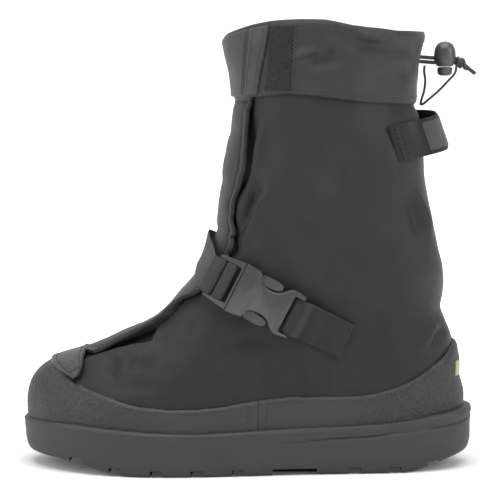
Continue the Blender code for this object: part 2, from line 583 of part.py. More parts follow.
# ------------------------------------------------------------------ the front flap
def flap_grid(out):
    rows = []
    t = np.array(FRONT_FLAP)
    lat, med, lift, rise = (smooth(t[:, 0], t[:, k]) for k in (1, 2, 3, 4))
    for v in FLAP_ROWS:
        mid = float(skin(np.array([v]), np.array([0.0]))[0, 1])
        a = phi_at_y(v, -float(lat(v)) + mid)
        b = phi_at_y(v, float(med(v)) + mid)
        phis = np.concatenate([np.linspace(a, 0, 7)[:-1], np.linspace(0, b, 6)])
        share = np.concatenate([np.linspace(1, 0, 7)[:-1], np.zeros(6)])
        proud = np.concatenate([np.ones(6), 1 - ease(np.linspace(0, 1, 6), 0, 1)])
        rows.append(skin(np.full(12, v), phis, GAP + 0.3 + out + float(lift(v)) * share + float(rise(v)) * proud))
    return np.array(rows)


add("front_flap", *sheet_solid(flap_grid(FLAP), flap_grid(0.0)), "nylon")

# ------------------------------------------------------------------ the cuff and its tab
levels = np.array([18.05, 18.5, 19, 20, 20.6, TOP])
gv, gp = np.meshgrid(levels, PHI, indexing="ij")
add("cuff", *tube_wall(skin(gv, gp, GAP + CUFF), skin(gv, gp, GAP)), "nylon")

rows_out, rows_in = [], []
for v, front_x, rear_x in CUFF_TAB:
    phis = np.linspace(phi_at_x(v, front_x, 1), phi_at_x(v, rear_x, 1), 11)
    rows_out.append(skin(np.full(11, v), phis, GAP + CUFF + GAP + 0.2 + TAB))
    rows_in.append(skin(np.full(11, v), phis, GAP + CUFF + GAP + 0.2))
add("cuff_tab", *sheet_solid(np.array(rows_out), np.array(rows_in)), "nylon")


# ------------------------------------------------------------------ frame of the buckle
def surface_at(x, z, side, out=0.0):
    """Point of the upper's side at x, z as seen from that side, with its normal."""
    hit, normal, _, _ = _tree.ray_cast(Vector((x, side * 200.0, z)), Vector((0, -side, 0)))
    hit, normal = np.array(hit), np.array(normal)
    if normal[1] * side < 0:
        normal = -normal
    return hit + normal * out, normal


def across(origin, direction):
    """Distance from a point to the upper along a direction, far if it is missed."""
    hit = _tree.ray_cast(Vector(origin), Vector(direction))[0]
    return 60.0 if hit is None else float((np.array(hit) - origin) @ direction)


slope = math.radians(BUCKLE_SLOPE)
flat_axis = np.array([math.cos(slope), 0.0, -math.sin(slope)])
up_axis = np.array([math.sin(slope), 0.0, math.cos(slope)])


def buckle_frame(yaw):
    t = unit(flat_axis + np.array([0.0, -math.tan(yaw), 0.0]))
    w = up_axis
    n = unit(np.cross(t, w))
    return t, w, n if n[1] < 0 else -n


def rest_height(yaw):
    """Depth of the plane through the axis that just clears the upper, and the gaps at its ends."""
    t, w, n = buckle_frame(yaw)
    at = np.array([BUCKLE_AT[0], -80.0, BUCKLE_AT[1]])
    depth = [[across(at + t * s_ + w * w_, -n) for w_ in (-15.0, 0.0, 15.0)] for s_ in np.linspace(0.0, BUCKLE_L, 10)]
    depth = np.array(depth)
    return depth.min(), depth[0].min(), depth[-1].min()


yaws = np.radians(np.linspace(4.0, 30.0, 14))
ends = [rest_height(y)[1] - rest_height(y)[2] for y in yaws]
YAW = float(yaws[int(np.argmin(np.abs(ends)))])
BT, BW, BN = buckle_frame(YAW)
BO = np.array([BUCKLE_AT[0], -80.0, BUCKLE_AT[1]]) - BN * (rest_height(YAW)[0] - BUCKLE_LIFT)
BO = BO + flat_axis * ((BUCKLE_AT[0] - BO[0]) * flat_axis[0] + (BUCKLE_AT[1] - BO[2]) * flat_axis[2])


def on_buckle(s_, w_, n_):
    return BO + BT * s_ + BW * w_ + BN * n_


def plate(outline, levels_):
    """Stack of equal outlines in the buckle's frame: each level is height and inset."""
    outline = np.asarray(outline, float)
    normal = plan_normals(outline)
    loops_ = []
    for height, inset_ in levels_:
        p = outline - normal * inset_
        loops_.append(np.array([on_buckle(a_, b_, height) for a_, b_ in p]))
    verts = np.concatenate(loops_)
    n = len(outline)
    faces = [tuple(range(n))[::-1], tuple((len(loops_) - 1) * n + i for i in range(n))]
    for k in range(len(loops_) - 1):
        faces += [(k * n + i, k * n + (i + 1) % n, (k + 1) * n + (i + 1) % n, (k + 1) * n + i) for i in range(n)]
    return verts, faces


def block(s0, s1, half, n0, n1, w0=None):
    w_lo = -half if w0 is None else w0
    return plate([(s0, w_lo), (s1, w_lo), (s1, half), (s0, half)], [(n0, 0.0), (n1, 0.0)])


half = table(SOCKET)
outline = np.concatenate([half, half[::-1] * [1, -1]])
socket = add("buckle_female", *plate(outline, [(0.0, 0.6), (0.9, 0.0), (BUCKLE_T - 1.4, 0.0), (BUCKLE_T, 0.9)]), "acetal", soft=False)
cavity = [(17.0, 13.6), (48.0, 13.6), (48.0, -13.6), (17.0, -13.6)]
cut(socket, cutter("socket_cavity", *plate(cavity, [(1.5, 0.0), (BUCKLE_T - 1.7, 0.0)])))
cut(socket, cutter("socket_slot", *block(56.0, 59.4, SLOT_HALF, -5.0, 20.0)))
cut(socket, cutter("socket_bar_over", *block(58.0, 70.0, SLOT_HALF + 0.2, 5.4, 21.0)))
cut(socket, cutter("socket_bar_under", *block(58.2, 70.0, SLOT_HALF + 0.3, -5.2, 2.5)))

frame_ = add("buckle_male", *plate([(0.0, MALE_HALF - 0.8), (1.2, MALE_HALF), (MALE_L, MALE_HALF + 2.0), (MALE_L, -MALE_HALF - 2.0), (1.2, -MALE_HALF), (0.0, -MALE_HALF + 0.8)],
                                   [(1.6, 0.0), (6.0, 0.0)]), "acetal", soft=False)
cut(frame_, cutter("ladder_slot_1", *block(3.0, 6.0, SLOT_HALF, -5.0, 20.0)))
cut(frame_, cutter("ladder_slot_2", *block(11.0, 16.2, SLOT_HALF, -5.0, 20.0)))
cut(frame_, cutter("ladder_over", *block(-5.0, 13.0, SLOT_HALF + 0.2, 5.4, 20.0)))
cut(frame_, cutter("ladder_under", *block(-5.0, 13.2, SLOT_HALF + 0.3, -5.2, 2.3)))
cut(frame_, cutter("tongue", *block(17.0, 42.0, 3.4, 2.2, 5.7)), "UNION")
for name, sign in (("prong_upper", 1), ("prong_lower", -1)):
    arm = np.array([(17.0, 12.6), (30.4, 12.9), (31.2, 15.4), (44.0, 15.6), (46.2, 14.4), (46.4, 11.4), (43.0, 10.0), (30.0, 8.8), (17.0, 8.8)]) * [1, sign]
    cut(frame_, cutter(name, *plate(arm, [(2.1, 0.0), (5.8, 0.0)])), "UNION")


# ------------------------------------------------------------------ webbing
ACROSS = np.linspace(-1, 1, 4)


def ribbon(centres, normals, sides, thick, width):
    """A band from its cross-sections: each is a row of points with normals."""
    outer = centres[:, None, :] + sides[:, None, :] * (ACROSS * width / 2)[None, :, None] + normals[:, None, :] * (thick / 2)
    inner = centres[:, None, :] + sides[:, None, :] * (ACROSS * width / 2)[None, :, None] - normals[:, None, :] * (thick / 2)
    return outer, inner


def path_normals(points, sides):
    d = np.gradient(points, axis=0)
    return unit(np.cross(d, sides))


def drape(centres, sides, normals, out, thick, width):
    """Rows of a band laid on the upper: each point drops onto it along the row's normal."""
    low, high = [], []
    for c, side, n, o in zip(centres, sides, normals, out):
        a_, b_ = [], []
        for f in ACROSS:
            p = c + side * f * width / 2 + n * 40.0
            d = across(p, -n)
            q = p - n * d if d < 59 else c + side * f * width / 2
            a_.append(q + n * o)
            b_.append(q + n * (o + thick))
        low.append(a_)
        high.append(b_)
    return np.array(high), np.array(low)


# Instep strap: the part on the upper.
rows = []
for name, x, z, out in STRAP_INNER:
    rows.append((surface_at(x, z, 1)[0], out))
for name, v, y, out in STRAP_FRONT:
    rows.append((skin(np.array([v]), np.array([phi_at_y(v, y)]))[0], out))
knots_ = np.array([p for p, _ in rows])
outs = np.array([o for _, o in rows])
run = np.concatenate([[0], np.cumsum(np.linalg.norm(np.diff(knots_, axis=0), axis=1))])
path, out_of = smooth(run, knots_), smooth(run, outs)
at = np.concatenate([np.linspace(0, run[3], 9)[:-1], np.linspace(run[3], run[-1], 14)])
centres, outs = path(at), out_of(at)
normals, sides = [], []
for c, d in zip(centres, np.gradient(path(at), axis=0)):
    hit, normal, _, _ = _tree.find_nearest(Vector(c))
    normal = np.array(normal)
    if normal @ (np.array(hit) - np.array([60.0, 0.0, hit[2] - 20.0])) < 0:
        normal = -normal
    normals.append(normal)
    sides.append(unit(np.cross(normal, unit(d))))
normals = unit(np.array(normals))
normals[1:-1] = unit(normals[:-2] + 2 * normals[1:-1] + normals[2:])
sides = np.array(sides)
if sides[-1] @ BW < 0:
    sides = -sides
high, low = drape(centres, sides, normals, outs, WEB_T, WEB_W)
ladder_rows = table(LADDER)
lc = np.array([on_buckle(a_, 0.0, b_) for a_, b_ in ladder_rows])
ls = np.repeat(BW[None], len(lc), 0)
ln = path_normals(lc, ls)
if ln[0] @ BN < 0:
    ln = -ln
lo_, li_ = ribbon(lc, ln, ls, WEB_T, WEB_W)
strap_out, strap_in = np.concatenate([high, lo_]), np.concatenate([low, li_])
add("instep_strap", *sheet_solid(strap_out, strap_in), "webbing", soft=False)

# Heel-side strap.
outer, inner = [], []
tab_rows = table(TAB_STRAP)
tc = []
for s_, h, sewn in tab_rows:
    ground = 40.0 - across(on_buckle(s_, 0.0, 40.0), -BN)
    tc.append(on_buckle(s_, 0.0, h + (ground + GAP + 0.05 + WEB_T / 2 if sewn else 0.0)))
tc = np.array(tc)
tn = path_normals(tc, np.repeat(BW[None], len(tc), 0))
if tn[-1] @ BN < 0:
    tn = -tn
for (s_, h, sewn), c, n in zip(tab_rows, tc, tn):
    a_, b_ = [], []
    for f in ACROSS:
        drop = 0.0
        if sewn:
            drop = across(on_buckle(s_, 0.0, 40.0), -BN) - across(on_buckle(s_, f * WEB_W / 2, 40.0), -BN)
        p = c + BW * f * WEB_W / 2 + BN * drop
        a_.append(p + n * WEB_T / 2)
        b_.append(p - n * WEB_T / 2)
    outer.append(a_)
    inner.append(b_)
add("strap_tab", *sheet_solid(np.array(outer), np.array(inner)), "webbing", soft=False)

# Pull loop.
lean = unit(np.array(LOOP_LEAN))
pts, tilt = [], []
for name, x, z, side in LOOP_SEWN:
    p, n = surface_at(x, z, side)
    pts.append(p + n * (GAP + 0.1 + LOOP_T / 2))
    tilt.append(unit(lean - n * (lean @ n)))
for name, x, y, z in LOOP_FREE:
    pts.append((x, y, z))
    tilt.append(lean)
for name, x, z, side in LOOP_SEWN_IN:
    p, n = surface_at(x, z, side)
    pts.append(p + n * (GAP + 0.1 + LOOP_T / 2))
    tilt.append(unit(lean - n * (lean @ n)))
pts = np.array(pts)
run = np.concatenate([[0], np.cumsum(np.linalg.norm(np.diff(pts, axis=0), axis=1))])
curve = smooth(run, pts)
at = np.linspace(0, run[-1], 21)
pts = curve(at)
sides = unit(smooth(run, np.array(tilt))(at))
normals = path_normals(pts, sides)
if normals[len(pts) // 2][0] < 0:
    normals = -normals
outer, inner = ribbon(pts, normals, sides, LOOP_T, LOOP_W)
add("pull_loop", *sheet_solid(outer, inner), "webbing", soft=False)


# ------------------------------------------------------------------ cord lock and drawcord
def turned(name, profile, slot, sides_=20):
    verts = [(LOCK_X, LOCK_Y, profile[0][1])]
    for r, z in profile[1:-1]:
        verts += [(LOCK_X + r * math.cos(2 * math.pi * i / sides_), LOCK_Y + r * math.sin(2 * math.pi * i / sides_), z) for i in range(sides_)]
    verts.append((LOCK_X, LOCK_Y, profile[-1][1]))
    rings = len(profile) - 2
    faces = [(0, 1 + (i + 1) % sides_, 1 + i) for i in range(sides_)]
    for k in range(rings - 1):
        faces += [(1 + k * sides_ + i, 1 + k * sides_ + (i + 1) % sides_, 1 + (k + 1) * sides_ + (i + 1) % sides_, 1 + (k + 1) * sides_ + i) for i in range(sides_)]
    last = 1 + (rings - 1) * sides_
    faces += [(last + i, last + (i + 1) % sides_, len(verts) - 1) for i in range(sides_)]
    return add(name, verts, faces, slot)


lock = turned("cord_lock_body", LOCK_BODY, "acetal")
hole_half = CORD_D / 2 + 0.45
hole = [(LOCK_X + sx * 12.0, sy * hole_half, z) for z in (CORD_Z[1] - hole_half, CORD_Z[0] + hole_half) for sx, sy in ((-1, -1), (1, -1), (1, 1), (-1, 1))]
cut(lock, cutter("cord_hole", hole, [(3, 2, 1, 0), (4, 5, 6, 7), (0, 1, 5, 4), (1, 2, 6, 5), (2, 3, 7, 6), (3, 0, 4, 7)]))
turned("cord_lock_button", LOCK_BUTTON, "acetal")


def cord(name, points, diameter, step, slot="cord"):
    """A tube along a smooth curve through a few points."""
    points = np.array(points, float)
    run_ = np.concatenate([[0], np.cumsum(np.linalg.norm(np.diff(points, axis=0), axis=1))])
    n = max(4, int(run_[-1] / step) + 1)
    p = smooth(run_, points)(np.linspace(0, run_[-1], n))
    data = bpy.data.curves.new(name, "CURVE")
    data.dimensions = "3D"
    data.bevel_depth = diameter / 2 * MM
    data.bevel_resolution = 2
    data.render_resolution_u = 0
    data.use_fill_caps = True
    spline = data.splines.new("POLY")
    spline.points.add(n - 1)
    for q, c in zip(spline.points, p):
        q.co = (*((c + np.array(SHIFT)) * MM), 1)
    obj = bpy.data.objects.new(name, data)
    data.materials.append(MATERIALS[slot])
    bpy.context.scene.collection.objects.link(obj)
    return obj


def ball(centre, radii, rings=7, sides_=12):
    verts, faces = [(centre[0], centre[1], centre[2] - radii[2])], []
    for k in range(1, rings):
        a_ = math.pi * k / rings - math.pi / 2
        for i in range(sides_):
            b_ = 2 * math.pi * i / sides_
            verts.append((centre[0] + radii[0] * math.cos(a_) * math.cos(b_), centre[1] + radii[1] * math.cos(a_) * math.sin(b_), centre[2] + radii[2] * math.sin(a_)))
    verts.append((centre[0], centre[1], centre[2] + radii[2]))
    faces += [(0, 1 + (i + 1) % sides_, 1 + i) for i in range(sides_)]
    for k in range(rings - 2):
        faces += [(1 + k * sides_ + i, 1 + k * sides_ + (i + 1) % sides_, 1 + (k + 1) * sides_ + (i + 1) % sides_, 1 + (k + 1) * sides_ + i) for i in range(sides_)]
    last = 1 + (rings - 2) * sides_
    faces += [(last + i, last + (i + 1) % sides_, len(verts) - 1) for i in range(sides_)]
    return verts, faces


cuff_x = float(skin(np.array([20.0]), np.array([math.pi]))[0, 0]) + GAP + CUFF + 0.7
knot_front = KNOT[0] - 3.9
for name, z in (("drawcord", CORD_Z[0]), ("drawcord_return", CORD_Z[1])):
    cord(name, [(cuff_x, 0, z + 0.7), (LOCK_X - 12.0, 0, z + 0.3), (LOCK_X - 8.0, 0, z), (LOCK_X - 3.0, 0, z), (LOCK_X + 3.0, 0, z), (knot_front - 0.8, 0, z - 0.3)], CORD_D, 5.0)
add("drawcord_knot", *ball(KNOT, (3.8, 3.6, 3.9)), "cord")
cord("drawcord_tail", [(KNOT[0] + 3.6, -0.6, KNOT[2] - 2.6)] + TAIL[1:], CORD_D, 5.0)
cord("cord_keeper", KEEPER, KEEPER_D, 4.0)
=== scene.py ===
"""Looks of the winter overshoe, left foot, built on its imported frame.

Sizes below are millimetres in the shoe's own frame: toe towards -X, outer side towards -Y.
"""
import json
import math

import bmesh
import bpy
import numpy as np
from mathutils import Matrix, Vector
from mathutils.bvhtree import BVHTree

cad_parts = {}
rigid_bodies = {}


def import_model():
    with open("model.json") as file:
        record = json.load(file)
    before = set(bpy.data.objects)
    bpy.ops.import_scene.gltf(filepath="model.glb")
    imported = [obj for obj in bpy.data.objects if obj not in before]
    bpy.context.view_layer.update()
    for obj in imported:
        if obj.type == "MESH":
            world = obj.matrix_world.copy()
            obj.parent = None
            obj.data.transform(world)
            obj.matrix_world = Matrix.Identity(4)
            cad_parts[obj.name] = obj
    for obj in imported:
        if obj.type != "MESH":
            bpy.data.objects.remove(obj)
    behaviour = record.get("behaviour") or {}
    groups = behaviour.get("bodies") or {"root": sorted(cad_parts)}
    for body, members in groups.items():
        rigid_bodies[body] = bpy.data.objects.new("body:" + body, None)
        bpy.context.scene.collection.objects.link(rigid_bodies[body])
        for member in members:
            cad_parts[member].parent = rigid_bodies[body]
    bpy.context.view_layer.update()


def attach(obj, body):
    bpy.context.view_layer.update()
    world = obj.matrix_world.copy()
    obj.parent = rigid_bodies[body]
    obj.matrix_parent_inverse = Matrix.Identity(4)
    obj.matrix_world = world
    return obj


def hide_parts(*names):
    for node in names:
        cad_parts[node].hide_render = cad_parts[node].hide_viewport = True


for old in list(bpy.data.objects):
    bpy.data.objects.remove(old)

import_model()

WORLD = 0.14
SOFTBOXES = [
    ("above", (1.7, 1.3), (0.0, -0.35, 1.5), (0, 0, 0.1), 32.0),
    ("left", (0.7, 1.2), (-1.5, -0.7, 0.8), (0, 0, 0.12), 15.0),
    ("right", (0.7, 1.2), (1.4, -0.8, 0.8), (0, 0, 0.12), 14.0),
]

# ------------------------------------------------------------------ driving sizes (mm)
MM = 0.001
SHIFT = (0.87, 1.14, 0.0)      # puts the origin under the middle of the whole shoe
GAP = 0.3            # clearance between pieces that touch
WALL = 1.5           # nylon upper with its lining
RAND = 1.6           # rubberised rand
PATCH = 1.4          # leather-look toe patch
FLAP = 1.8           # doubled front flap
CUFF = 1.9           # doubled cuff
TAB = 1.8            # hook-and-loop tab on the cuff
WEB_W, WEB_T = 25.0, 1.5      # strap webbing
LOOP_W, LOOP_T = 25.0, 2.0    # pull loop band
FLOOR_Z = 20.7       # inside floor of the cup sole
INSOLE_T = 4.0
EASE = 0.60          # extra room under the rand where the toe is tightly curved
LUG_DEPTH = 4.2
NOTCH_W = 8.2
AROUND = 44          # facets round a section

# ------------------------------------------------------------------ tables
# Sections of the upper, from the feather line to the top of the cuff. Each is a loop
# whose front and rear points lie on the shoe's centre plane.
#   front_x front_z rear_x rear_z half  bow  front_r rear_r square shaft
SECTIONS = [
    ("feather",    -150.5,  21.0, 146.0,  21.0, 50.0, 0.0, 42.0, 42.0, 2.2, 0.00),
    ("rim",        -151.4,  34.0, 146.0,  36.0, 50.0, 0.0, 42.0, 42.0, 2.2, 0.00),
    ("toe_wall",   -151.1,  47.0, 146.2,  49.5, 50.0, 0.0, 42.0, 42.0, 2.2, 0.00),
    ("toe_break",  -146.2,  59.6, 143.4,  61.0, 50.0, 0.0, 42.0, 42.0, 2.2, 0.02),
    ("toe_top",    -134.2,  69.0, 143.2,  72.0, 50.0, 0.0, 42.0, 42.0, 2.2, 0.05),
    ("patch",      -114.2,  75.5, 141.2,  82.0, 50.0, 0.0, 41.0, 42.0, 2.2, 0.12),
    ("ball",        -95.5,  82.2, 139.6,  91.0, 50.0, 0.0, 40.0, 43.0, 2.2, 0.22),
    ("vamp",        -77.2,  89.4, 136.0, 100.0, 50.0, 0.0, 39.0, 44.0, 2.25, 0.35),
    ("throat",      -63.4,  96.0, 133.0, 108.5, 50.0, 0.0, 38.0, 45.0, 2.3, 0.50),
    ("instep_1",    -53.6, 104.9, 134.2, 117.5, 50.0, 0.0, 34.0, 45.0, 2.4, 0.65),
    ("instep_2",    -43.2, 116.8, 135.0, 128.0, 50.5, 0.0, 32.0, 46.0, 2.45, 0.78),
    ("instep_3",    -32.6, 129.2, 134.0, 139.0, 51.0, 0.0, 32.0, 47.0, 2.5, 0.88),
    ("strap",       -24.8, 142.0, 131.0, 150.0, 51.5, 0.0, 34.0, 48.0, 2.5, 0.95),
    ("ankle",       -20.4, 158.0, 128.0, 162.0, 52.0, 0.0, 40.0, 50.0, 2.45, 1.00),
    ("shaft_1",     -18.6, 176.0, 124.7, 178.0, 52.5, 0.0, 44.0, 52.0, 2.35, 1.00),
    ("shaft_2",     -16.4, 196.0, 121.8, 196.0, 53.0, 0.0, 47.0, 53.0, 2.3, 1.00),
    ("shaft_3",     -12.6, 218.0, 120.2, 216.0, 53.0, 0.0, 49.0, 54.0, 2.25, 1.00),
    ("under_hem",    -9.0, 238.0, 117.2, 238.0, 52.5, 2.0, 50.0, 54.0, 2.2, 1.00),
    ("hem",          -7.4, 250.0, 112.8, 248.5, 51.0, 4.0, 50.0, 53.0, 2.2, 1.00),
    ("cuff_1",       -9.4, 264.0, 112.2, 264.0, 51.0, 5.0, 50.0, 53.0, 2.2, 1.00),
    ("cuff_2",      -13.0, 279.0, 113.8, 280.0, 52.0, 6.0, 51.0, 54.0, 2.2, 1.00),
    ("top",         -15.4, 292.6, 118.4, 297.0, 53.5, 8.0, 52.0, 56.0, 2.2, 1.00),
]
TOP = len(SECTIONS) - 1
UPPER_TOP = TOP - 0.25       # the upper ends just inside the cuff's edge

# Plan of the feather line: share of the length from the toe, lateral y, medial y.
FEATHER = [
    ("tip",       0.000,   8.0,  8.0),
    ("toe_1",     0.020, -12.5, 27.0),
    ("toe_2",     0.060, -28.0, 40.5),
    ("toe_3",     0.120, -41.0, 50.5),
    ("toe_4",     0.200, -51.0, 55.6),
    ("ball_med",  0.280, -55.6, 56.0),
    ("ball_lat",  0.360, -56.0, 53.0),
    ("waist_1",   0.460, -53.0, 46.0),
    ("waist_2",   0.560, -48.8, 40.8),
    ("waist_3",   0.660, -45.0, 39.0),
    ("heel_1",    0.760, -42.4, 39.6),
    ("heel_2",    0.850, -39.6, 38.8),
    ("heel_3",    0.920, -33.4, 33.4),
    ("heel_4",    0.965, -24.4, 25.0),
    ("heel_5",    0.990, -13.4, 14.6),
    ("back",      1.000,   0.8,  0.8),
]
CENTRE = [(-150.0, 8.0), (-125.0, 6.8), (-95.0, 4.2), (-60.0, 1.4), (-25.0, 0.0), (100.0, 0.0), (147.0, 0.8)]

# Sole wall, from the tread up to the rim: outset from the upper and height, on the
# sides, at the toe and at the heel.
#            side_out toe_out heel_out side_z toe_z heel_z
SOLE_WALL = [
    ("tread_edge",  2.6, -9.0, -10.0,  0.0,  7.4,  5.6),
    ("tread_round", 4.2, -1.4, -1.0,  1.6,  8.0,  7.4),
    ("low_wall",    5.6,  2.3,  5.0,  8.0, 10.6, 10.6),
    ("mid_wall",    6.0,  4.2,  7.4, 16.0, 17.0, 17.5),
    ("bead_under",  6.1,  5.0,  7.6, 24.0, 26.0, 29.0),
    ("bead",        6.3,  5.2,  8.5, 27.0, 29.2, 35.5),
]
RIM_OUT = (5.6, 4.6, 8.0)       # outset of the rim's top edge: side, toe, heel
# Height of the rim along the shoe.
RIM_Z = [(-156.0, 31.0), (-140.0, 32.4), (-124.0, 33.0), (-95.0, 31.7), (-63.0, 29.7), (-34.0, 28.9), (4.0, 30.4),
         (36.0, 31.6), (69.0, 32.4), (101.0, 34.6), (123.0, 37.6), (144.0, 40.3), (156.0, 41.0)]
# Centres of the side notches between the lugs, and their widths.
NOTCHES = [(-117.9, NOTCH_W), (-90.2, NOTCH_W), (-62.4, NOTCH_W), (-35.3, NOTCH_W), (-8.0, NOTCH_W), (30.9, 30.0),
           (70.4, NOTCH_W), (97.4, NOTCH_W), (123.8, NOTCH_W)]
# Upper edge of the rand seen from the side.
RAND_LINE = [(-124.0, 90.0), (-122.0, 66.0), (-119.5, 60.6), (-112.0, 57.4), (-94.0, 51.6), (-76.0, 46.9), (-57.0, 44.7), (-38.0, 44.4),
             (-19.0, 45.9), (0.0, 48.8), (22.0, 51.4), (45.0, 51.6), (68.0, 51.6), (85.0, 53.2), (97.0, 56.4), (107.0, 60.0), (115.0, 64.4),
             (125.0, 70.8), (134.0, 77.6), (140.0, 85.0), (150.0, 88.0)]
RAND_SEAM_X = 6.0
# Toe patch: share of its half width, front edge x, rear edge x.
TOE_PATCH = [(0.0, -135.5, -109.8), (0.35, -134.2, -110.6), (0.65, -129.5, -111.6), (0.88, -122.5, -111.8), (1.0, -117.5, -113.6)]
TOE_PATCH_HALF = 33.0
# Front flap: section number, lateral half width, medial half width, lift of the lateral
# edge, and how far the flap stands off over the folded gusset.
FRONT_FLAP = [(5.35, 22.0, 21.0, 0.2, 1.4), (6.0, 16.0, 20.0, 0.4, 2.0), (6.5, 13.0, 19.0, 0.6, 2.8), (7.5, 11.0, 19.0, 1.0, 3.0), (8.2, 13.0, 20.0, 1.2, 3.0),
              (9.0, 20.0, 21.0, 1.2, 2.4), (10.0, 28.0, 22.0, 1.0, 2.2), (10.6, 31.0, 23.0, 0.8, 1.8), (11.2, 33.0, 24.0, 0.8, 1.8), (12.0, 36.0, 25.0, 0.8, 2.0), (12.6, 37.0, 25.5, 0.8, 1.4),
              (13.2, 38.0, 26.0, 1.0, 0.0), (14.0, 36.5, 26.5, 1.4, 0.0), (15.0, 38.0, 27.0, 1.6, 0.0), (16.0, 37.0, 27.5, 1.4, 0.0), (17.75, 32.0, 28.0, 1.0, 0.0)]
FLAP_ROWS = [5.35, 6, 6.5, 7, 7.5, 8, 8.5, 9, 9.5, 10, 10.6, 11.2, 12, 13, 14, 15, 16, 17, 17.75]
# Tab on the cuff, on the outer side: section number, x of its front edge and of its rear edge.
CUFF_TAB = [(18.2, -7.0, 8.6), (18.5, -7.3, 9.0), (19.0, -8.2, 9.8), (20.0, -10.4, 12.4), (20.6, -11.0, 14.0), (20.85, -11.2, 14.6)]
# Side-release buckle: the left end of its axis and the axis itself, seen from the side.
BUCKLE_AT = (-23.7, 135.0)
BUCKLE_SLOPE = 27.2          # degrees down towards the heel
BUCKLE_L, BUCKLE_T = 63.0, 8.4
BUCKLE_LIFT = 1.0            # least distance from the upper to its underside
MALE_L, MALE_HALF = 18.0, 15.0
# Outline of the socket half: along the axis, half width.
SOCKET = [("mouth", 18.3, 17.4), ("side", 28.6, 16.6), ("bay_1", 30.2, 12.6), ("bay_2", 33.0, 9.9), ("bay_3", 37.5, 8.7), ("bay_4", 42.5, 8.6),
          ("bay_5", 46.6, 10.2), ("bay_6", 49.6, 13.6), ("ear_1", 52.6, 16.0), ("ear_2", 57.0, 16.2), ("ear_tip", 63.0, 14.8)]
SLOT_HALF = 12.9             # half width of the webbing slots
# Instep strap from the inner side over the front. On the inner side a row gives x and z, at
# the front the section number and y; then the height off the upper.
STRAP_INNER = [("anchor", 50.0, 97.0, GAP), ("sewn_end", 30.0, 107.0, GAP), ("inner_side", 4.0, 120.0, GAP + 0.5), ("inner_front", -13.0, 131.0, GAP + 1.8)]
STRAP_FRONT = [("inner_edge", 11.95, 33.0, 4.4), ("inner_top", 12.22, 17.0, 6.0), ("instep", 12.3, 0.0, 6.4), ("outer_top", 12.15, -15.0, 6.4), ("outer_edge", 11.82, -27.0, 6.6)]
# Webbing in the frame of the buckle: along the axis, height over its underside.
LADDER = [("in", -3.6, 5.8), ("over_end_bar", -0.2, 6.9), ("over_end_bar_2", 2.4, 6.8), ("slot_1_top", 4.4, 5.4), ("slot_1_low", 4.6, 2.8), ("under_bar", 5.9, 1.15),
          ("under_bar_2", 9.6, 1.1), ("slot_2_low", 12.1, 1.7), ("slot_2", 12.6, 3.8), ("slot_2_top", 12.1, 6.0), ("over_bar", 9.6, 6.5), ("tail_end", 6.9, 6.5)]
# Heel-side webbing: along the axis, height over the underside, or over the upper when sewn.
TAB_STRAP = [("hem", 74.0, 0, 1), ("rising", 69.0, 0, 1), ("to_bar", 64.5, 0.9, 0), ("under_bar", 61.0, 1.1, 0), ("slot_low", 58.4, 1.5, 0), ("slot", 57.8, 3.9, 0),
             ("slot_top", 58.4, 6.2, 0), ("over_bar", 61.0, 6.6, 0), ("leaving", 64.5, 6.2, 0), ("falling_1", 69.0, 3.3, 1), ("falling_2", 73.0, 2.9, 1), ("falling_3", 77.0, 1.9, 1),
             ("sewn_1", 81.0, 0.25, 1), ("sewn_2", 87.0, 0, 1), ("sewn_3", 93.0, 0, 1), ("end", 99.5, 0, 1)]
# Pull loop: x, z and side of the points sewn to the upper, then free points, then sewn ones.
LOOP_SEWN = [("outer_1", 95.5, 220.5, -1), ("outer_2", 101.5, 221.8, -1), ("outer_3", 107.0, 223.0, -1)]
LOOP_FREE = [("free_1", 115.5, -28.8, 224.6), ("free_2", 122.8, -23.6, 226.2), ("bend_1", 129.8, -14.8, 228.0), ("bend", 132.4, -3.0, 229.6), ("bend_2", 131.6, 9.2, 231.0),
             ("free_3", 126.6, 18.4, 231.6), ("free_4", 117.5, 26.0, 231.6)]
LOOP_SEWN_IN = [("inner_3", 107.0, 231.0, 1), ("inner_2", 101.5, 230.0, 1), ("inner_1", 95.5, 229.0, 1)]
LOOP_LEAN = (-0.33, 0.0, 0.944)      # direction of the band's width
# Cord lock: turned body and button, radius and height.
LOCK_X, LOCK_Y = 134.4, 0.0
LOCK_BODY = [(0.0, 273.0), (5.7, 273.0), (6.2, 274.4), (7.3, 276.0), (7.6, 280.0), (7.2, 284.6), (5.6, 288.0), (3.2, 289.7), (0.0, 290.2)]
LOCK_BUTTON = [(0.0, 266.6), (3.6, 266.8), (4.9, 268.0), (5.2, 270.0), (5.2, 272.7), (0.0, 272.7)]
CORD_D = 2.6
CORD_Z = (278.9, 275.8)      # heights of the two strands in the lock
KNOT = (145.6, 0.0, 275.6)
TAIL = [(147.4, -0.3, 274.2), (151.0, -1.0, 271.4), (155.0, -1.6, 268.2)]
KEEPER_D = 1.7
KEEPER = [(142.0, -3.8, 274.6), (141.4, -4.0, 269.6), (136.0, -4.2, 262.8), (128.8, -3.6, 255.4), (123.0, -2.6, 250.4), (119.4, -1.2, 247.4), (118.2, 0.4, 247.2),
          (118.6, 1.4, 250.0), (120.4, 1.6, 256.0), (121.2, 1.2, 264.0), (120.4, 0.8, 270.0), (120.6, 0.6, 273.6)]



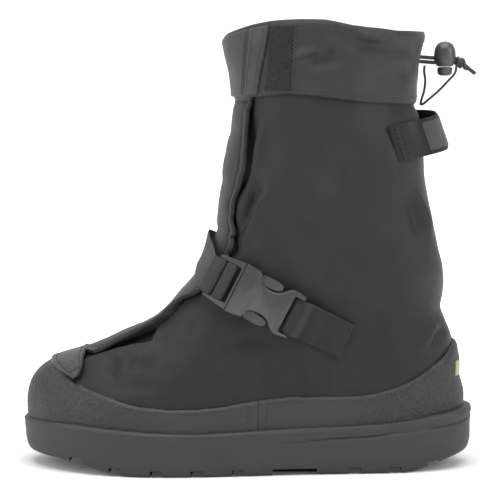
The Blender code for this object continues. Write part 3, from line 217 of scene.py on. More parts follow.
# ------------------------------------------------------------------ small mathematics
def smooth(xs, ys):
    """A smooth curve through table points, as a function of x."""
    xs, ys = np.asarray(xs, float), np.asarray(ys, float)
    d = np.diff(ys, axis=0) / np.diff(xs).reshape((-1,) + (1,) * (ys.ndim - 1))
    h = np.diff(xs)
    m = np.empty_like(ys)
    w = (h[1:] / (h[1:] + h[:-1])).reshape((-1,) + (1,) * (ys.ndim - 1))
    m[1:-1] = d[:-1] * w + d[1:] * (1 - w)
    m[0], m[-1] = d[0], d[-1]

    def curve(x):
        x = np.clip(np.asarray(x, float), xs[0], xs[-1])
        i = np.clip(np.searchsorted(xs, x, side="right") - 1, 0, len(xs) - 2)
        hh = xs[i + 1] - xs[i]
        s = (x - xs[i]) / hh
        if ys.ndim > 1:
            s, hh = s[..., None], hh[..., None]
        return ((2 * s**3 - 3 * s**2 + 1) * ys[i] + (s**3 - 2 * s**2 + s) * hh * m[i]
                + (3 * s**2 - 2 * s**3) * ys[i + 1] + (s**3 - s**2) * hh * m[i + 1])

    return curve


def table(rows, first=1):
    """The numbers of a table whose rows start with a name."""
    return np.array([r[first:] for r in rows], float)


def ease(x, a, b):
    s = np.clip((np.asarray(x, float) - a) / (b - a), 0, 1)
    return s * s * (3 - 2 * s)


def unit(v):
    v = np.asarray(v, float)
    return v / np.maximum(np.linalg.norm(v, axis=-1, keepdims=True), 1e-12)


# ------------------------------------------------------------------ the upper's surface
section = smooth(np.arange(len(SECTIONS)), table(SECTIONS))
_dense = section(np.linspace(0, TOP, 12 * TOP + 1))
FRONT_CURVE, REAR_CURVE = _dense[:, 0:2], _dense[:, 2:4]
centre_y = smooth(*np.array(CENTRE).T)
rim_z = smooth(*np.array(RIM_Z).T)
_feather = table(FEATHER)
_share_angle = np.arccos(1 - 2 * _feather[:, 0])
feather_y = smooth(_share_angle, _feather[:, 1:3])


def away(points, curve):
    """Distance of points from a polyline, in the side view."""
    a, b = curve[:-1], curve[1:]
    d = b - a
    out = np.empty(len(points))
    for k in range(0, len(points), 4000):
        p = points[k:k + 4000, None, :]
        t = np.clip(((p - a) * d).sum(-1) / (d * d).sum(-1), 0, 1)
        out[k:k + 4000] = np.sqrt((((a + t[..., None] * d) - p) ** 2).sum(-1)).min(1)
    return out


def swell(distance, radius, square):
    """Rounding of the form near its outline: 0 on it, 1 a radius inside."""
    s = np.clip(distance / radius, 0, 1)
    return (1 - (1 - s) ** square) ** (1 / square)


def rounding(x, z, row):
    points = np.stack([x, z], -1)
    return (swell(away(points, FRONT_CURVE), row[..., 6], row[..., 8])
            * swell(away(points, REAR_CURVE), row[..., 7], row[..., 8]))


# Width of the form along the feather line with its end rounding taken out.
_a = np.linspace(0.004, math.pi - 0.004, 400)
_row0 = np.repeat(section(np.zeros(1)), len(_a), 0)
_bx = _row0[:, 0] + (_row0[:, 2] - _row0[:, 0]) * (1 - np.cos(_a)) / 2
_by = feather_y(_a)
_be = rounding(_bx, _row0[:, 1], _row0)
_full = np.stack([(centre_y(_bx) - _by[:, 0]) / _be, (_by[:, 1] - centre_y(_bx)) / _be], -1)


def skin(v, phi, out=0.0):
    """Point of the upper's outside. v is the section number; phi runs from 0 at the toe
    to pi at the heel, positive on the lateral side. out moves it along the normal."""
    v, phi = np.broadcast_arrays(np.asarray(v, float), np.asarray(phi, float))
    shape = v.shape

    def at(v, phi):
        r = section(v)
        t = (1 - np.cos(phi)) / 2
        x = r[:, 0] + (r[:, 2] - r[:, 0]) * t
        z = r[:, 1] + (r[:, 3] - r[:, 1]) * t + r[:, 5] * 4 * t * (1 - t)
        lateral = np.where(np.sin(phi) >= 0, 1.0, 0.0)
        base = np.where(lateral > 0, np.interp(x, _bx, _full[:, 0]), np.interp(x, _bx, _full[:, 1]))
        wide = (1 - r[:, 9]) * base + r[:, 9] * r[:, 4]
        y = centre_y(x) * (1 - r[:, 9]) + wide * rounding(x, z, r) * np.where(lateral > 0, -1.0, 1.0)
        return np.stack([x, y, z], -1)

    v, phi = v.ravel(), phi.ravel()
    p = at(v, phi)
    if np.any(out):
        e = 0.02
        dv = at(np.minimum(v + e, TOP), phi) - at(np.maximum(v - e, 0), phi)
        dp = at(v, phi + e) - at(v, phi - e)
        n = unit(np.cross(dp, dv))
        p = p + n * np.broadcast_to(out, shape).reshape(-1, 1)
    return p.reshape(shape + (3,))


def phi_at_y(v, y, rear=False):
    """Angle at which section v has the given y, in the front half or the rear half."""
    a = np.linspace(1e-4, math.pi / 2, 240) * (-1 if y > 0 else 1)
    if rear:
        a = np.sign(a) * (math.pi - np.abs(a))
    ys = skin(np.full(len(a), v), a)[:, 1]
    return float(np.interp(abs(y), np.abs(ys), a))


def phi_at_x(v, x, side):
    """Angle at which section v has the given x."""
    r = section(np.array([v]))[0]
    return side * math.acos(1 - 2 * np.clip((x - r[0]) / (r[2] - r[0]), 0, 1))


# A fine copy of the surface, to drape pieces on.
_gv, _gp = np.meshgrid(np.linspace(0, TOP, 8 * TOP + 1), np.linspace(-math.pi, math.pi, 193)[:-1], indexing="ij")
_grid = skin(_gv, _gp)
_rows, _cols = _grid.shape[:2]
_tree = BVHTree.FromPolygons(
    [tuple(p) for p in _grid.reshape(-1, 3)],
    [(i * _cols + j, i * _cols + (j + 1) % _cols, (i + 1) * _cols + (j + 1) % _cols, (i + 1) * _cols + j)
     for i in range(_rows - 1) for j in range(_cols)])


def cast(origin, direction, out=0.0):
    """Where a ray from inside or outside meets the surface, moved out along the normal."""
    hit, normal, _, _ = _tree.ray_cast(Vector(origin), Vector(direction))
    hit, normal = np.array(hit), np.array(normal)
    inside = np.array([section(np.array([12.0]))[0][0] + 70, 0, hit[2]])
    if normal @ (hit - inside) < 0:
        normal = -normal
    return hit + normal * out


def plan_normals(loop):
    """Outward normals of a closed plan loop."""
    d = np.roll(loop, -1, 0) - np.roll(loop, 1, 0)
    n = unit(np.stack([-d[:, 1], d[:, 0]], -1))
    c = loop.mean(0)
    return np.where(((loop - c) * n).sum(-1, keepdims=True) < 0, -n, n)


def rand_top(phi):
    """Section number at which the rand ends."""
    vs = np.linspace(0.5, 7.5, 141)
    p = skin(vs, np.full(len(vs), phi))
    line = smooth(*np.array(RAND_LINE).T)(p[:, 0])
    over = np.flatnonzero(p[:, 2] >= line)
    return float(vs[over[0]]) if len(over) else float(vs[-1])


# ------------------------------------------------------------------ frame of the buckle
def surface_at(x, z, side, out=0.0):
    """Point of the upper's side at x, z as seen from that side, with its normal."""
    hit, normal, _, _ = _tree.ray_cast(Vector((x, side * 200.0, z)), Vector((0, -side, 0)))
    hit, normal = np.array(hit), np.array(normal)
    if normal[1] * side < 0:
        normal = -normal
    return hit + normal * out, normal


def across(origin, direction):
    """Distance from a point to the upper along a direction, far if it is missed."""
    hit = _tree.ray_cast(Vector(origin), Vector(direction))[0]
    return 60.0 if hit is None else float((np.array(hit) - origin) @ direction)


slope = math.radians(BUCKLE_SLOPE)
flat_axis = np.array([math.cos(slope), 0.0, -math.sin(slope)])
up_axis = np.array([math.sin(slope), 0.0, math.cos(slope)])


def buckle_frame(yaw):
    t = unit(flat_axis + np.array([0.0, -math.tan(yaw), 0.0]))
    w = up_axis
    n = unit(np.cross(t, w))
    return t, w, n if n[1] < 0 else -n


def rest_height(yaw):
    """Depth of the plane through the axis that just clears the upper, and the gaps at its ends."""
    t, w, n = buckle_frame(yaw)
    at = np.array([BUCKLE_AT[0], -80.0, BUCKLE_AT[1]])
    depth = [[across(at + t * s_ + w * w_, -n) for w_ in (-15.0, 0.0, 15.0)] for s_ in np.linspace(0.0, BUCKLE_L, 10)]
    depth = np.array(depth)
    return depth.min(), depth[0].min(), depth[-1].min()


yaws = np.radians(np.linspace(4.0, 30.0, 14))
ends = [rest_height(y)[1] - rest_height(y)[2] for y in yaws]
YAW = float(yaws[int(np.argmin(np.abs(ends)))])
BT, BW, BN = buckle_frame(YAW)
BO = np.array([BUCKLE_AT[0], -80.0, BUCKLE_AT[1]]) - BN * (rest_height(YAW)[0] - BUCKLE_LIFT)
BO = BO + flat_axis * ((BUCKLE_AT[0] - BO[0]) * flat_axis[0] + (BUCKLE_AT[1] - BO[2]) * flat_axis[2])


def on_buckle(s_, w_, n_):
    return BO + BT * s_ + BW * w_ + BN * n_



def path_normals(points, sides):
    d = np.gradient(points, axis=0)
    return unit(np.cross(d, sides))


# ------------------------------------------------------------------ more mathematics
def skin_n(v, phi):
    """Points of the upper's outside and their outward normals."""
    v, phi = np.broadcast_arrays(np.asarray(v, float), np.asarray(phi, float))
    e = 0.02
    p = skin(v, phi)
    dv = skin(np.minimum(v + e, TOP), phi) - skin(np.maximum(v - e, 0), phi)
    dp = skin(v, phi + e) - skin(v, phi - e)
    return p, unit(np.cross(dp, dv))


def line_distance(x, z, points):
    """Distance from a polyline in the side view, and how far along it (0 to 1)."""
    c = np.asarray(points, float)
    a, d = c[:-1], np.diff(c, axis=0)
    seg = np.linalg.norm(d, axis=1)
    start = np.concatenate([[0], np.cumsum(seg)])
    q = np.stack([x, z], -1).reshape(-1, 2)
    best = np.full(len(q), 1e9)
    along = np.zeros(len(q))
    sign = np.zeros(len(q))
    for k in range(len(a)):
        t = np.clip(((q - a[k]) * d[k]).sum(-1) / (seg[k] ** 2), 0, 1)
        r = q - a[k] - t[:, None] * d[k]
        dist = np.sqrt((r * r).sum(-1))
        near = dist < best
        best[near] = dist[near]
        along[near] = (start[k] + t[near] * seg[k]) / start[-1]
        sign[near] = np.sign(d[k][0] * r[near, 1] - d[k][1] * r[near, 0])
    return best.reshape(x.shape), along.reshape(x.shape), sign.reshape(x.shape)


def inside(x, z, polygon):
    """1 inside a polygon of the side view, 0 outside."""
    c = np.asarray(polygon, float)
    hit = np.zeros(x.shape, bool)
    for (x0, z0), (x1, z1) in zip(c, np.roll(c, -1, 0)):
        cross = (z0 > z) != (z1 > z)
        with np.errstate(divide="ignore", invalid="ignore"):
            at = x0 + (z - z0) * (x1 - x0) / (z1 - z0)
        hit ^= cross & (x < at)
    return hit.astype(float)


def fold(x, z, points, height, width, fade_a=1, fade_b=1, spread=1.0):
    """One soft ridge (or trough) along a line. It fades at its ends and may widen."""
    d, t, _ = line_distance(x, z, points)
    w = width * (1 + (spread - 1) * t)
    soft = np.exp(-(d / w) ** 2)
    if fade_a:
        soft = soft * ease(t, -0.05, 0.38)
    if fade_b:
        soft = soft * (1 - ease(t, 0.62, 1.05))
    return height * soft


def waves(p, size, seed):
    """Slow unevenness of cloth: a few crossed waves of about one size, from -1 to 1."""
    rng = np.random.default_rng(seed)
    total = np.zeros(p.shape[:-1])
    for _ in range(7):
        k = rng.normal(size=3)
        k = k / np.linalg.norm(k) * 2 * math.pi / (size * rng.uniform(0.7, 1.5))
        total = total + np.sin(p @ k + rng.uniform(0, 6.28))
    return total / 7 ** 0.5 / 1.4


# ------------------------------------------------------------------ pieces
ROOT_PIECES = []


def piece(name, verts, faces, mats, slot, nodes=(), uv=None, fields=None, face_mat=None, sharp=38.0, turn=True, raw=False):
    """A piece of the shoe from points in millimetres."""
    pts = np.asarray(verts, float)
    if not raw:
        pts = (pts + np.array(SHIFT)) * MM
    mesh = bpy.data.meshes.new(name)
    mesh.from_pydata(pts.tolist(), [], [tuple(int(k) for k in f) for f in faces])
    mesh.validate(clean_customdata=False)
    mats = mats if isinstance(mats, (list, tuple)) else [mats]
    for m in mats:
        mesh.materials.append(m)
    if face_mat is not None:
        mesh.polygons.foreach_set("material_index", np.asarray(face_mat, np.int32))
    if turn:
        bm = bmesh.new()
        bm.from_mesh(mesh)
        bmesh.ops.recalc_face_normals(bm, faces=bm.faces)
        bm.to_mesh(mesh)
        bm.free()
    if uv is not None:
        layer = mesh.uv_layers.new(name="UVMap")
        ids = np.empty(len(mesh.loops), np.int32)
        mesh.loops.foreach_get("vertex_index", ids)
        layer.data.foreach_set("uv", np.asarray(uv, np.float32)[ids].ravel())
    for key, values in (fields or {}).items():
        a = mesh.attributes.new(key, "FLOAT", "POINT")
        a.data.foreach_set("value", np.asarray(values, np.float32))
    mesh.shade_smooth()
    if sharp:
        mesh.set_sharp_from_angle(angle=math.radians(sharp))
    obj = bpy.data.objects.new(name, mesh)
    bpy.context.scene.collection.objects.link(obj)
    return settle(obj, nodes)


def settle(obj, nodes=()):
    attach(obj, "root")
    if nodes:
        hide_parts(*nodes)
    ROOT_PIECES.append(obj)
    return obj


def frozen(obj):
    """The object's mesh with its modifiers applied."""
    bpy.context.view_layer.update()
    mesh = bpy.data.meshes.new_from_object(obj.evaluated_get(bpy.context.evaluated_depsgraph_get()))
    return mesh


def quads(rows, cols, at=0, closed=False):
    """Faces of a grid of points [row][column]."""
    i, j = np.meshgrid(np.arange(rows - 1), np.arange(cols if closed else cols - 1), indexing="ij")
    k = (j + 1) % cols
    f = np.stack([i * cols + j, i * cols + k, (i + 1) * cols + k, (i + 1) * cols + j], -1) + at
    return f.reshape(-1, 4).tolist()


def slab(outer, inner):
    """A closed slab between two equal grids with four open edges."""
    a, b = outer.shape[:2]
    verts = np.concatenate([outer.reshape(-1, 3), inner.reshape(-1, 3)])
    m = a * b
    faces = quads(a, b) + quads(a, b, m)
    rim = ([(0, j) for j in range(b)] + [(i, b - 1) for i in range(1, a)]
           + [(a - 1, j) for j in range(b - 2, -1, -1)] + [(i, 0) for i in range(a - 2, 0, -1)])
    for (i, j), (k, l) in zip(rim, rim[1:] + rim[:1]):
        faces.append((i * b + j, k * b + l, m + k * b + l, m + i * b + j))
    return verts, faces


def shell(outer, inner, step):
    """A closed wall between a fine grid that closes on itself and a coarser one inside it,
    made of every step-th row and column."""
    a, b = outer.shape[:2]
    c, d = inner.shape[:2]
    verts = np.concatenate([outer.reshape(-1, 3), inner.reshape(-1, 3)])
    m = a * b
    faces = quads(a, b, 0, True) + quads(c, d, m, True)
    for ro, ri in ((0, 0), (a - 1, c - 1)):
        for j in range(d):
            faces.append([ro * b + (j * step + k) % b for k in range(step + 1)] + [m + ri * d + (j + 1) % d, m + ri * d + j])
    return verts, faces, m


def capsules(name, starts, ends, normals, thick, mat, slot, sides=6, lift=0.35):
    """A row of stitches: each is a small bowed thread from one hole to the next, joined."""
    verts, faces = [], []
    prof = [(0.0, 0.0, -0.5), (0.12, 0.75, 0.0), (0.35, 1.0, 0.55), (0.5, 1.0, 0.7), (0.65, 1.0, 0.55), (0.88, 0.75, 0.0), (1.0, 0.0, -0.5)]
    for a, b, n in zip(starts, ends, normals):
        t = unit(b - a)
        s = np.cross(t, n)
        base = len(verts)
        for k, (u, r, h) in enumerate(prof):
            c = a + (b - a) * u + n * (h * lift)
            if r == 0.0:
                verts.append(c)
            else:
                for i in range(sides):
                    ang = 2 * math.pi * i / sides
                    verts.append(c + (s * math.cos(ang) + n * math.sin(ang)) * thick / 2 * r)
        rings = len(prof) - 2
        for i in range(sides):
            faces.append((base, base + 1 + (i + 1) % sides, base + 1 + i))
            for k in range(rings - 1):
                o = base + 1 + k * sides
                faces.append((o + i, o + (i + 1) % sides, o + sides + (i + 1) % sides, o + sides + i))
            o = base + 1 + (rings - 1) * sides
            faces.append((o + i, o + (i + 1) % sides, o + sides))
    return piece(name, np.array(verts), faces, mat, slot, turn=False, sharp=0)


def stitch_line(points, normals, long, gap):
    """Starts, ends and normals of stitches spaced along a path."""
    run = np.concatenate([[0], np.cumsum(np.linalg.norm(np.diff(points, axis=0), axis=1))])
    n = max(1, int((run[-1] + gap) / (long + gap)))
    a = np.arange(n) * (long + gap) + (run[-1] - n * (long + gap) + gap) / 2

    def at(s):
        return np.stack([np.interp(s, run, points[:, k]) for k in range(3)], -1)

    nn = unit(np.stack([np.interp(a + long / 2, run, normals[:, k]) for k in range(3)], -1))
    return at(a), at(a + long), nn


# ------------------------------------------------------------------ materials
class Look:
    """A procedural material: helpers that add nodes round one Principled shader."""

    def __init__(self, name, colour, rough, **sockets):
        self.mat = bpy.data.materials.new(name)
        self.mat.use_nodes = True
        self.tree = self.mat.node_tree
        self.shader = self.tree.nodes["Principled BSDF"]
        self.set(self.shader, "Base Color", (*colour, 1))
        self.set(self.shader, "Roughness", rough)
        for key, value in sockets.items():
            self.set(self.shader, key.replace("_", " "), value)
        self.mat.diffuse_color = (*colour, 1)

    def set(self, node, socket, value):
        if isinstance(value, bpy.types.NodeSocket):
            self.tree.links.new(value, node.inputs[socket])
        else:
            node.inputs[socket].default_value = value

    def node(self, kind, out=0, props=None, **inputs):
        n = self.tree.nodes.new(kind)
        for key, value in (props or {}).items():
            setattr(n, key, value)
        for key, value in inputs.items():
            self.set(n, int(key[1:]) if key[0] == "_" and key[1:].isdigit() else key.replace("_", " "), value)
        return n.outputs[out]

    def place(self):
        return self.node("ShaderNodeTexCoord", "Object")

    def uv(self):
        return self.node("ShaderNodeUVMap", 0, {"uv_map": "UVMap"})

    def field(self, name):
        return self.node("ShaderNodeAttribute", "Fac", {"attribute_name": name, "attribute_type": "GEOMETRY"})

    def stretch(self, vector, scale, turn=(0, 0, 0)):
        return self.node("ShaderNodeMapping", 0, Vector=vector, Scale=scale, Rotation=turn)

    def noise(self, vector, scale, detail=3.0, rough=0.55):
        return self.node("ShaderNodeTexNoise", "Fac", Vector=vector, Scale=scale, Detail=detail, Roughness=rough)

    def cells(self, vector, scale, kind="F1", out="Distance"):
        return self.node("ShaderNodeTexVoronoi", out, {"feature": kind}, Vector=vector, Scale=scale)

    def wave(self, vector, scale, direction="X", distort=0.0, profile="SIN", dscale=1.0):
        return self.node("ShaderNodeTexWave", "Fac", {"bands_direction": direction, "wave_profile": profile},
                         Vector=vector, Scale=scale, Distortion=distort, Detail=1.0, **{"Detail_Scale": dscale})

    def math(self, op, a, b=0.0, clamp=False):
        return self.node("ShaderNodeMath", 0, {"operation": op, "use_clamp": clamp}, _0=a, _1=b)

    def ramp(self, fac, stops):
        n = self.tree.nodes.new("ShaderNodeValToRGB")
        el = n.color_ramp.elements
        while len(el) < len(stops):
            el.new(0.5)
        for e, (pos, c) in zip(el, stops):
            e.position = pos
            e.color = (*c, 1) if isinstance(c, tuple) else (c, c, c, 1)
        self.tree.links.new(fac, n.inputs[0])
        return n.outputs[0]

    def range(self, fac, a, b, c, d):
        return self.node("ShaderNodeMapRange", 0, {"clamp": True}, _0=fac, _1=a, _2=b, _3=c, _4=d)

    def blend(self, fac, a, b):
        n = self.tree.nodes.new("ShaderNodeMix")
        n.data_type = "RGBA"
        self.set(n, 0, fac)
        for k, v in ((6, a), (7, b)):
            if isinstance(v, bpy.types.NodeSocket):
                self.tree.links.new(v, n.inputs[k])
            else:
                n.inputs[k].default_value = (*v, 1)
        return n.outputs[2]

    def bump(self, *layers):
        """Layers of (height socket, distance in mm, strength), the finest last."""
        normal = None
        for height, distance, strength in layers:
            n = self.tree.nodes.new("ShaderNodeBump")
            n.inputs["Strength"].default_value = strength
            n.inputs["Distance"].default_value = distance * MM
            self.tree.links.new(height, n.inputs["Height"])
            if normal is not None:
                self.tree.links.new(normal, n.inputs["Normal"])
            normal = n.outputs[0]
        self.tree.links.new(normal, self.shader.inputs["Normal"])

    def colour(self, socket):
        self.tree.links.new(socket, self.shader.inputs["Base Color"])

    def rough(self, socket):
        self.tree.links.new(socket, self.shader.inputs["Roughness"])


def tint(c, k):
    return tuple(v * k for v in c)


# ------------------------------------------------------------------ camera, floor and light
CAM = bpy.data.cameras.new("camera")
CAM.lens, CAM.sensor_width = 135.652, 36.0
CAM.clip_end = 50
cam = bpy.data.objects.new("camera", CAM)
cam.location = (0.0019, -1.2949, 0.2490)
cam.rotation_euler = (math.radians(85.5), 0, 0)
bpy.context.scene.collection.objects.link(cam)
bpy.context.scene.camera = cam
bpy.context.scene.view_settings.view_transform = "Standard"


def plane(name, size, place, turn, glow, albedo, near=False):
    mesh = bpy.data.meshes.new(name)
    a, b = size[0] / 2, size[1] / 2
    mesh.from_pydata([(-a, -b, 0), (a, -b, 0), (a, b, 0), (-a, b, 0)], [], [(0, 1, 2, 3)])
    o = bpy.data.objects.new(name, mesh)
    o.location, o.rotation_euler = place, turn
    bpy.context.scene.collection.objects.link(o)
    m = bpy.data.materials.new(name)
    m.use_nodes = True
    s = m.node_tree.nodes["Principled BSDF"]
    s.inputs["Base Color"].default_value = (albedo, albedo, albedo, 1)
    s.inputs["Roughness"].default_value = 0.9
    s.inputs["Specular IOR Level"].default_value = 0.1
    s.inputs["Emission Color"].default_value = (1, 1, 1, 1)
    s.inputs["Emission Strength"].default_value = glow
    if near:      # only the lamps light the floor round the shoe; farther off it glows white
        t = m.node_tree
        where = t.nodes.new("ShaderNodeTexCoord")
        far = t.nodes.new("ShaderNodeVectorMath")
        far.operation = "LENGTH"
        t.links.new(where.outputs["Object"], far.inputs[0])
        step = t.nodes.new("ShaderNodeMapRange")
        for k, v in enumerate((0.0, 0.20, 0.60, 0.05, 1.0)):
            step.inputs[k].default_value = v
        t.links.new(far.outputs["Value"], step.inputs[0])
        t.links.new(step.outputs[0], s.inputs["Emission Strength"])
    mesh.materials.append(m)
    return o


plane("floor", (8, 8), (0, 0, -0.0004), (0, 0, 0), 0.0, 0.80, near=True)
plane("backdrop", (14, 10), (0, 3.9, 3.0), (math.radians(90), 0, 0), 1.0, 0.3)


def softbox(name, size, place, aim, watts):
    d = bpy.data.lights.new(name, "AREA")
    d.shape, d.size, d.size_y, d.energy = "RECTANGLE", size[0], size[1], watts
    o = bpy.data.objects.new(name, d)
    o.location = place
    o.rotation_euler = (Vector(aim) - Vector(place)).to_track_quat("-Z", "Y").to_euler()
    bpy.context.scene.collection.objects.link(o)


for light in SOFTBOXES:
    softbox(*light)
world = bpy.data.worlds.new("world")
world.use_nodes = True
world.node_tree.nodes["Background"].inputs[0].default_value = (1, 1, 1, 1)
world.node_tree.nodes["Background"].inputs[1].default_value = WORLD
bpy.context.scene.world = world

# ------------------------------------------------------------------ the materials
def cloth(name, colour, rough, yarn, sheen, wear=1.0, vary=0.16):
    """Woven nylon: fine crossed yarns and slow patches of darker and lighter tone."""
    k = Look(name, colour, rough, Sheen_Weight=sheen, Sheen_Roughness=0.45, Specular_IOR_Level=0.30)
    p = k.place()
    a = k.wave(p, 314.0 / yarn, "DIAGONAL", 0.6, dscale=40.0)
    b = k.wave(k.stretch(p, (1, 1, 1), (0, math.radians(90), 0)), 314.0 / yarn, "DIAGONAL", 0.6, dscale=40.0)
    weave = k.math("MULTIPLY", a, b)
    fine = k.noise(p, 900.0, 3.0)
    slow = k.noise(p, 26.0, 4.0, 0.6)
    cast_ = k.noise(k.stretch(p, (1, 1, 0.45)), 75.0, 5.0, 0.62)
    tone = k.math("ADD", k.math("MULTIPLY", slow, 0.55), k.math("MULTIPLY", cast_, 0.45))
    shade = k.ramp(tone, [(0.30, tint(colour, 1 - vary)), (0.5, colour), (0.70, tint(colour, 1 + vary * wear * 1.6))])
    speck = k.blend(k.range(fine, 0.52, 0.72, 0, 0.30), (0, 0, 0), tint(colour, 3.0))
    n = k.tree.nodes.new("ShaderNodeMix")
    n.data_type, n.blend_type = "RGBA", "ADD"
    n.inputs[0].default_value = 0.18
    k.tree.links.new(shade, n.inputs[6])
    k.tree.links.new(speck, n.inputs[7])
    k.colour(n.outputs[2])
    k.rough(k.range(tone, 0.3, 0.7, rough + 0.07, rough - 0.08))
    k.bump((cast_, 0.9, 0.30), (weave, yarn * 0.28, 0.55), (fine, 0.12, 0.35))
    return k.mat


def rubber(name, colour, rough, pebble, size, coat=0.0, grain=0.8):
    """Moulded rubber: a fine pebbled grain, dull patches, paler rubbed spots."""
    k = Look(name, colour, rough, Specular_IOR_Level=0.45, Coat_Weight=coat, Coat_Roughness=0.35)
    p = k.place()
    peb = k.cells(p, 1000.0 / size, "SMOOTH_F1")
    fine = k.noise(p, 1400.0, 3.0)
    slow = k.noise(p, 32.0, 5.0, 0.62)
    axes = k.tree.nodes.new("ShaderNodeSeparateXYZ")
    k.tree.links.new(p, axes.inputs[0])
    amount = k.range(k.math("ABSOLUTE", axes.outputs[0]), 0.055, 0.105, 0.25, 1.0)
    scuff = k.noise(k.stretch(p, (0.35, 1, 1)), 260.0, 6.0, 0.7)
    base_ = k.ramp(slow, [(0.30, tint(colour, 0.84)), (0.52, colour), (0.72, tint(colour, 1.2))])
    grained = k.blend(k.math("MULTIPLY", k.range(peb, 0.15, 0.75, 0, grain), amount), base_, tint(colour, 0.45))
    k.colour(k.blend(k.range(scuff, 0.60, 0.80, 0, 0.35), grained, tint(colour, 1.8)))
    k.rough(k.range(k.math("ADD", k.math("MULTIPLY", slow, 0.6), k.math("MULTIPLY", scuff, 0.4)), 0.3, 0.7, rough - 0.09, rough + 0.10))
    k.bump((slow, 0.5, 0.25), (k.math("MULTIPLY", peb, amount), pebble, 0.9), (fine, 0.05, 0.5))
    return k.mat


def webbing(name, colour, rough):
    """Woven webbing from its own lengths (u along, v across, in mm)."""
    k = Look(name, colour, rough, Sheen_Weight=0.08, Sheen_Roughness=0.5, Specular_IOR_Level=0.25)
    uv = k.uv()
    p = k.place()
    a = k.wave(k.stretch(uv, (1, 1, 1), (0, 0, math.radians(35))), 0.36, "X", 1.0, dscale=2.0)
    b = k.wave(k.stretch(uv, (1, 1, 1), (0, 0, math.radians(-35))), 0.36, "X", 1.0, dscale=2.0)
    rows = k.wave(uv, 0.22, "Y", 0.3)
    yarn = k.math("MULTIPLY", k.math("ADD", a, b), k.math("ADD", k.math("MULTIPLY", rows, 0.5), 0.5))
    fuzz = k.noise(p, 1600.0, 3.0)
    slow = k.noise(p, 60.0, 4.0)
    shade = k.ramp(k.math("MULTIPLY", yarn, 0.6), [(0.1, tint(colour, 0.55)), (0.5, colour), (0.95, tint(colour, 1.45))])
    k.colour(k.blend(k.range(slow, 0.35, 0.7, 0, 0.35), shade, tint(colour, 1.5)))
    k.rough(k.range(fuzz, 0.3, 0.7, rough - 0.08, min(1, rough + 0.08)))
    k.bump((yarn, 0.30, 0.75), (fuzz, 0.10, 0.5))
    return k.mat


def plastic(name, colour, rough):
    """Moulded acetal: fine spark texture, faint flow marks, rubbed spots."""
    k = Look(name, colour, rough, Specular_IOR_Level=0.5)
    p = k.place()
    spark = k.noise(p, 1500.0, 4.0, 0.7)
    slow = k.noise(p, 90.0, 5.0, 0.6)
    k.colour(k.blend(k.range(slow, 0.4, 0.75, 0, 0.5), tint(colour, 0.92), tint(colour, 1.35)))
    k.rough(k.range(slow, 0.3, 0.7, rough - 0.06, rough + 0.10))
    k.bump((slow, 0.12, 0.3), (spark, 0.05, 0.5))
    return k.mat


def fleece(name, colour):
    k = Look(name, colour, 0.95, Sheen_Weight=0.10, Sheen_Roughness=0.6, Specular_IOR_Level=0.1)
    p = k.place()
    tuft = k.noise(p, 520.0, 6.0, 0.7)
    slow = k.noise(p, 40.0, 4.0)
    k.colour(k.blend(k.range(tuft, 0.35, 0.7, 0, 1), tint(colour, 0.6), tint(colour, 1.6)))
    k.rough(k.range(slow, 0.3, 0.7, 0.86, 1.0))
    k.bump((slow, 1.0, 0.3), (tuft, 1.3, 1.0))
    return k.mat


def braid(name, colour):
    """Braided cord from its own lengths (u along, v around, in mm)."""
    k = Look(name, colour, 0.72, Sheen_Weight=0.1, Sheen_Roughness=0.5, Specular_IOR_Level=0.35)
    uv = k.uv()
    a = k.wave(k.stretch(uv, (1, 1, 1), (0, 0, math.radians(40))), 0.42, "X", 0.2)
    b = k.wave(k.stretch(uv, (1, 1, 1), (0, 0, math.radians(-40))), 0.42, "X", 0.2)
    yarn = k.math("MAXIMUM", a, b)
    fuzz = k.noise(k.place(), 1800.0, 3.0)
    k.colour(k.blend(yarn, tint(colour, 0.45), tint(colour, 1.4)))
    k.rough(k.range(fuzz, 0.3, 0.7, 0.62, 0.85))
    k.bump((yarn, 0.22, 0.9), (fuzz, 0.08, 0.5))
    return k.mat


M = {
    "sole": rubber("sole_rubber", (0.0315, 0.0302, 0.0302), 0.60, 0.05, 0.55, 0.0, 0.3),
    "rand": rubber("rand_rubber", (0.0290, 0.0279, 0.0279), 0.60, 0.85, 1.6, 0.0, 1.0),
    "patch": rubber("toe_patch_rubber", (0.040, 0.0388, 0.0388), 0.52, 0.55, 1.3, 0.12, 1.0),
    "nylon": cloth("nylon", (0.0122, 0.0120, 0.0134), 0.58, 0.52, 0.03),
    "flap": cloth("flap_nylon", (0.0175, 0.0173, 0.0186), 0.58, 0.52, 0.03),
    "cuff": cloth("cuff_nylon", (0.0172, 0.0170, 0.0182), 0.55, 0.52, 0.05, 1.3),
    "tab": cloth("tab_nylon", (0.032, 0.0316, 0.033), 0.56, 0.60, 0.08, 1.4, 0.28),
    "felt": fleece("loop_tape", (0.017, 0.0165, 0.017)),
    "webbing": webbing("webbing", (0.034, 0.0325, 0.0325), 0.78),
    "sewn": webbing("sewn_webbing", (0.0215, 0.0205, 0.0205), 0.80),
    # Near-black rubber for the cut faces of the tread notches and bars: painted shade in the recesses.
    "recess": rubber("sole_recess", (0.006, 0.0058, 0.0058), 0.80, 0.05, 0.55, 0.0, 0.3),
    "loop": webbing("loop_webbing", (0.0078, 0.0075, 0.0075), 0.85),
    "label": webbing("woven_label", (0.036, 0.035, 0.037), 0.55),
    "buckle": plastic("buckle_acetal", (0.046, 0.045, 0.045), 0.34),
    "liner": fleece("lining", (0.016, 0.016, 0.017)),
    "cord": braid("cord", (0.034, 0.033, 0.034)),
    "thread": webbing("thread", (0.050, 0.049, 0.050), 0.6),
    "heel_dot": cloth("heel_patch", (0.20, 0.28, 0.04), 0.45, 0.5, 0.2, 1.0, 0.1),
}

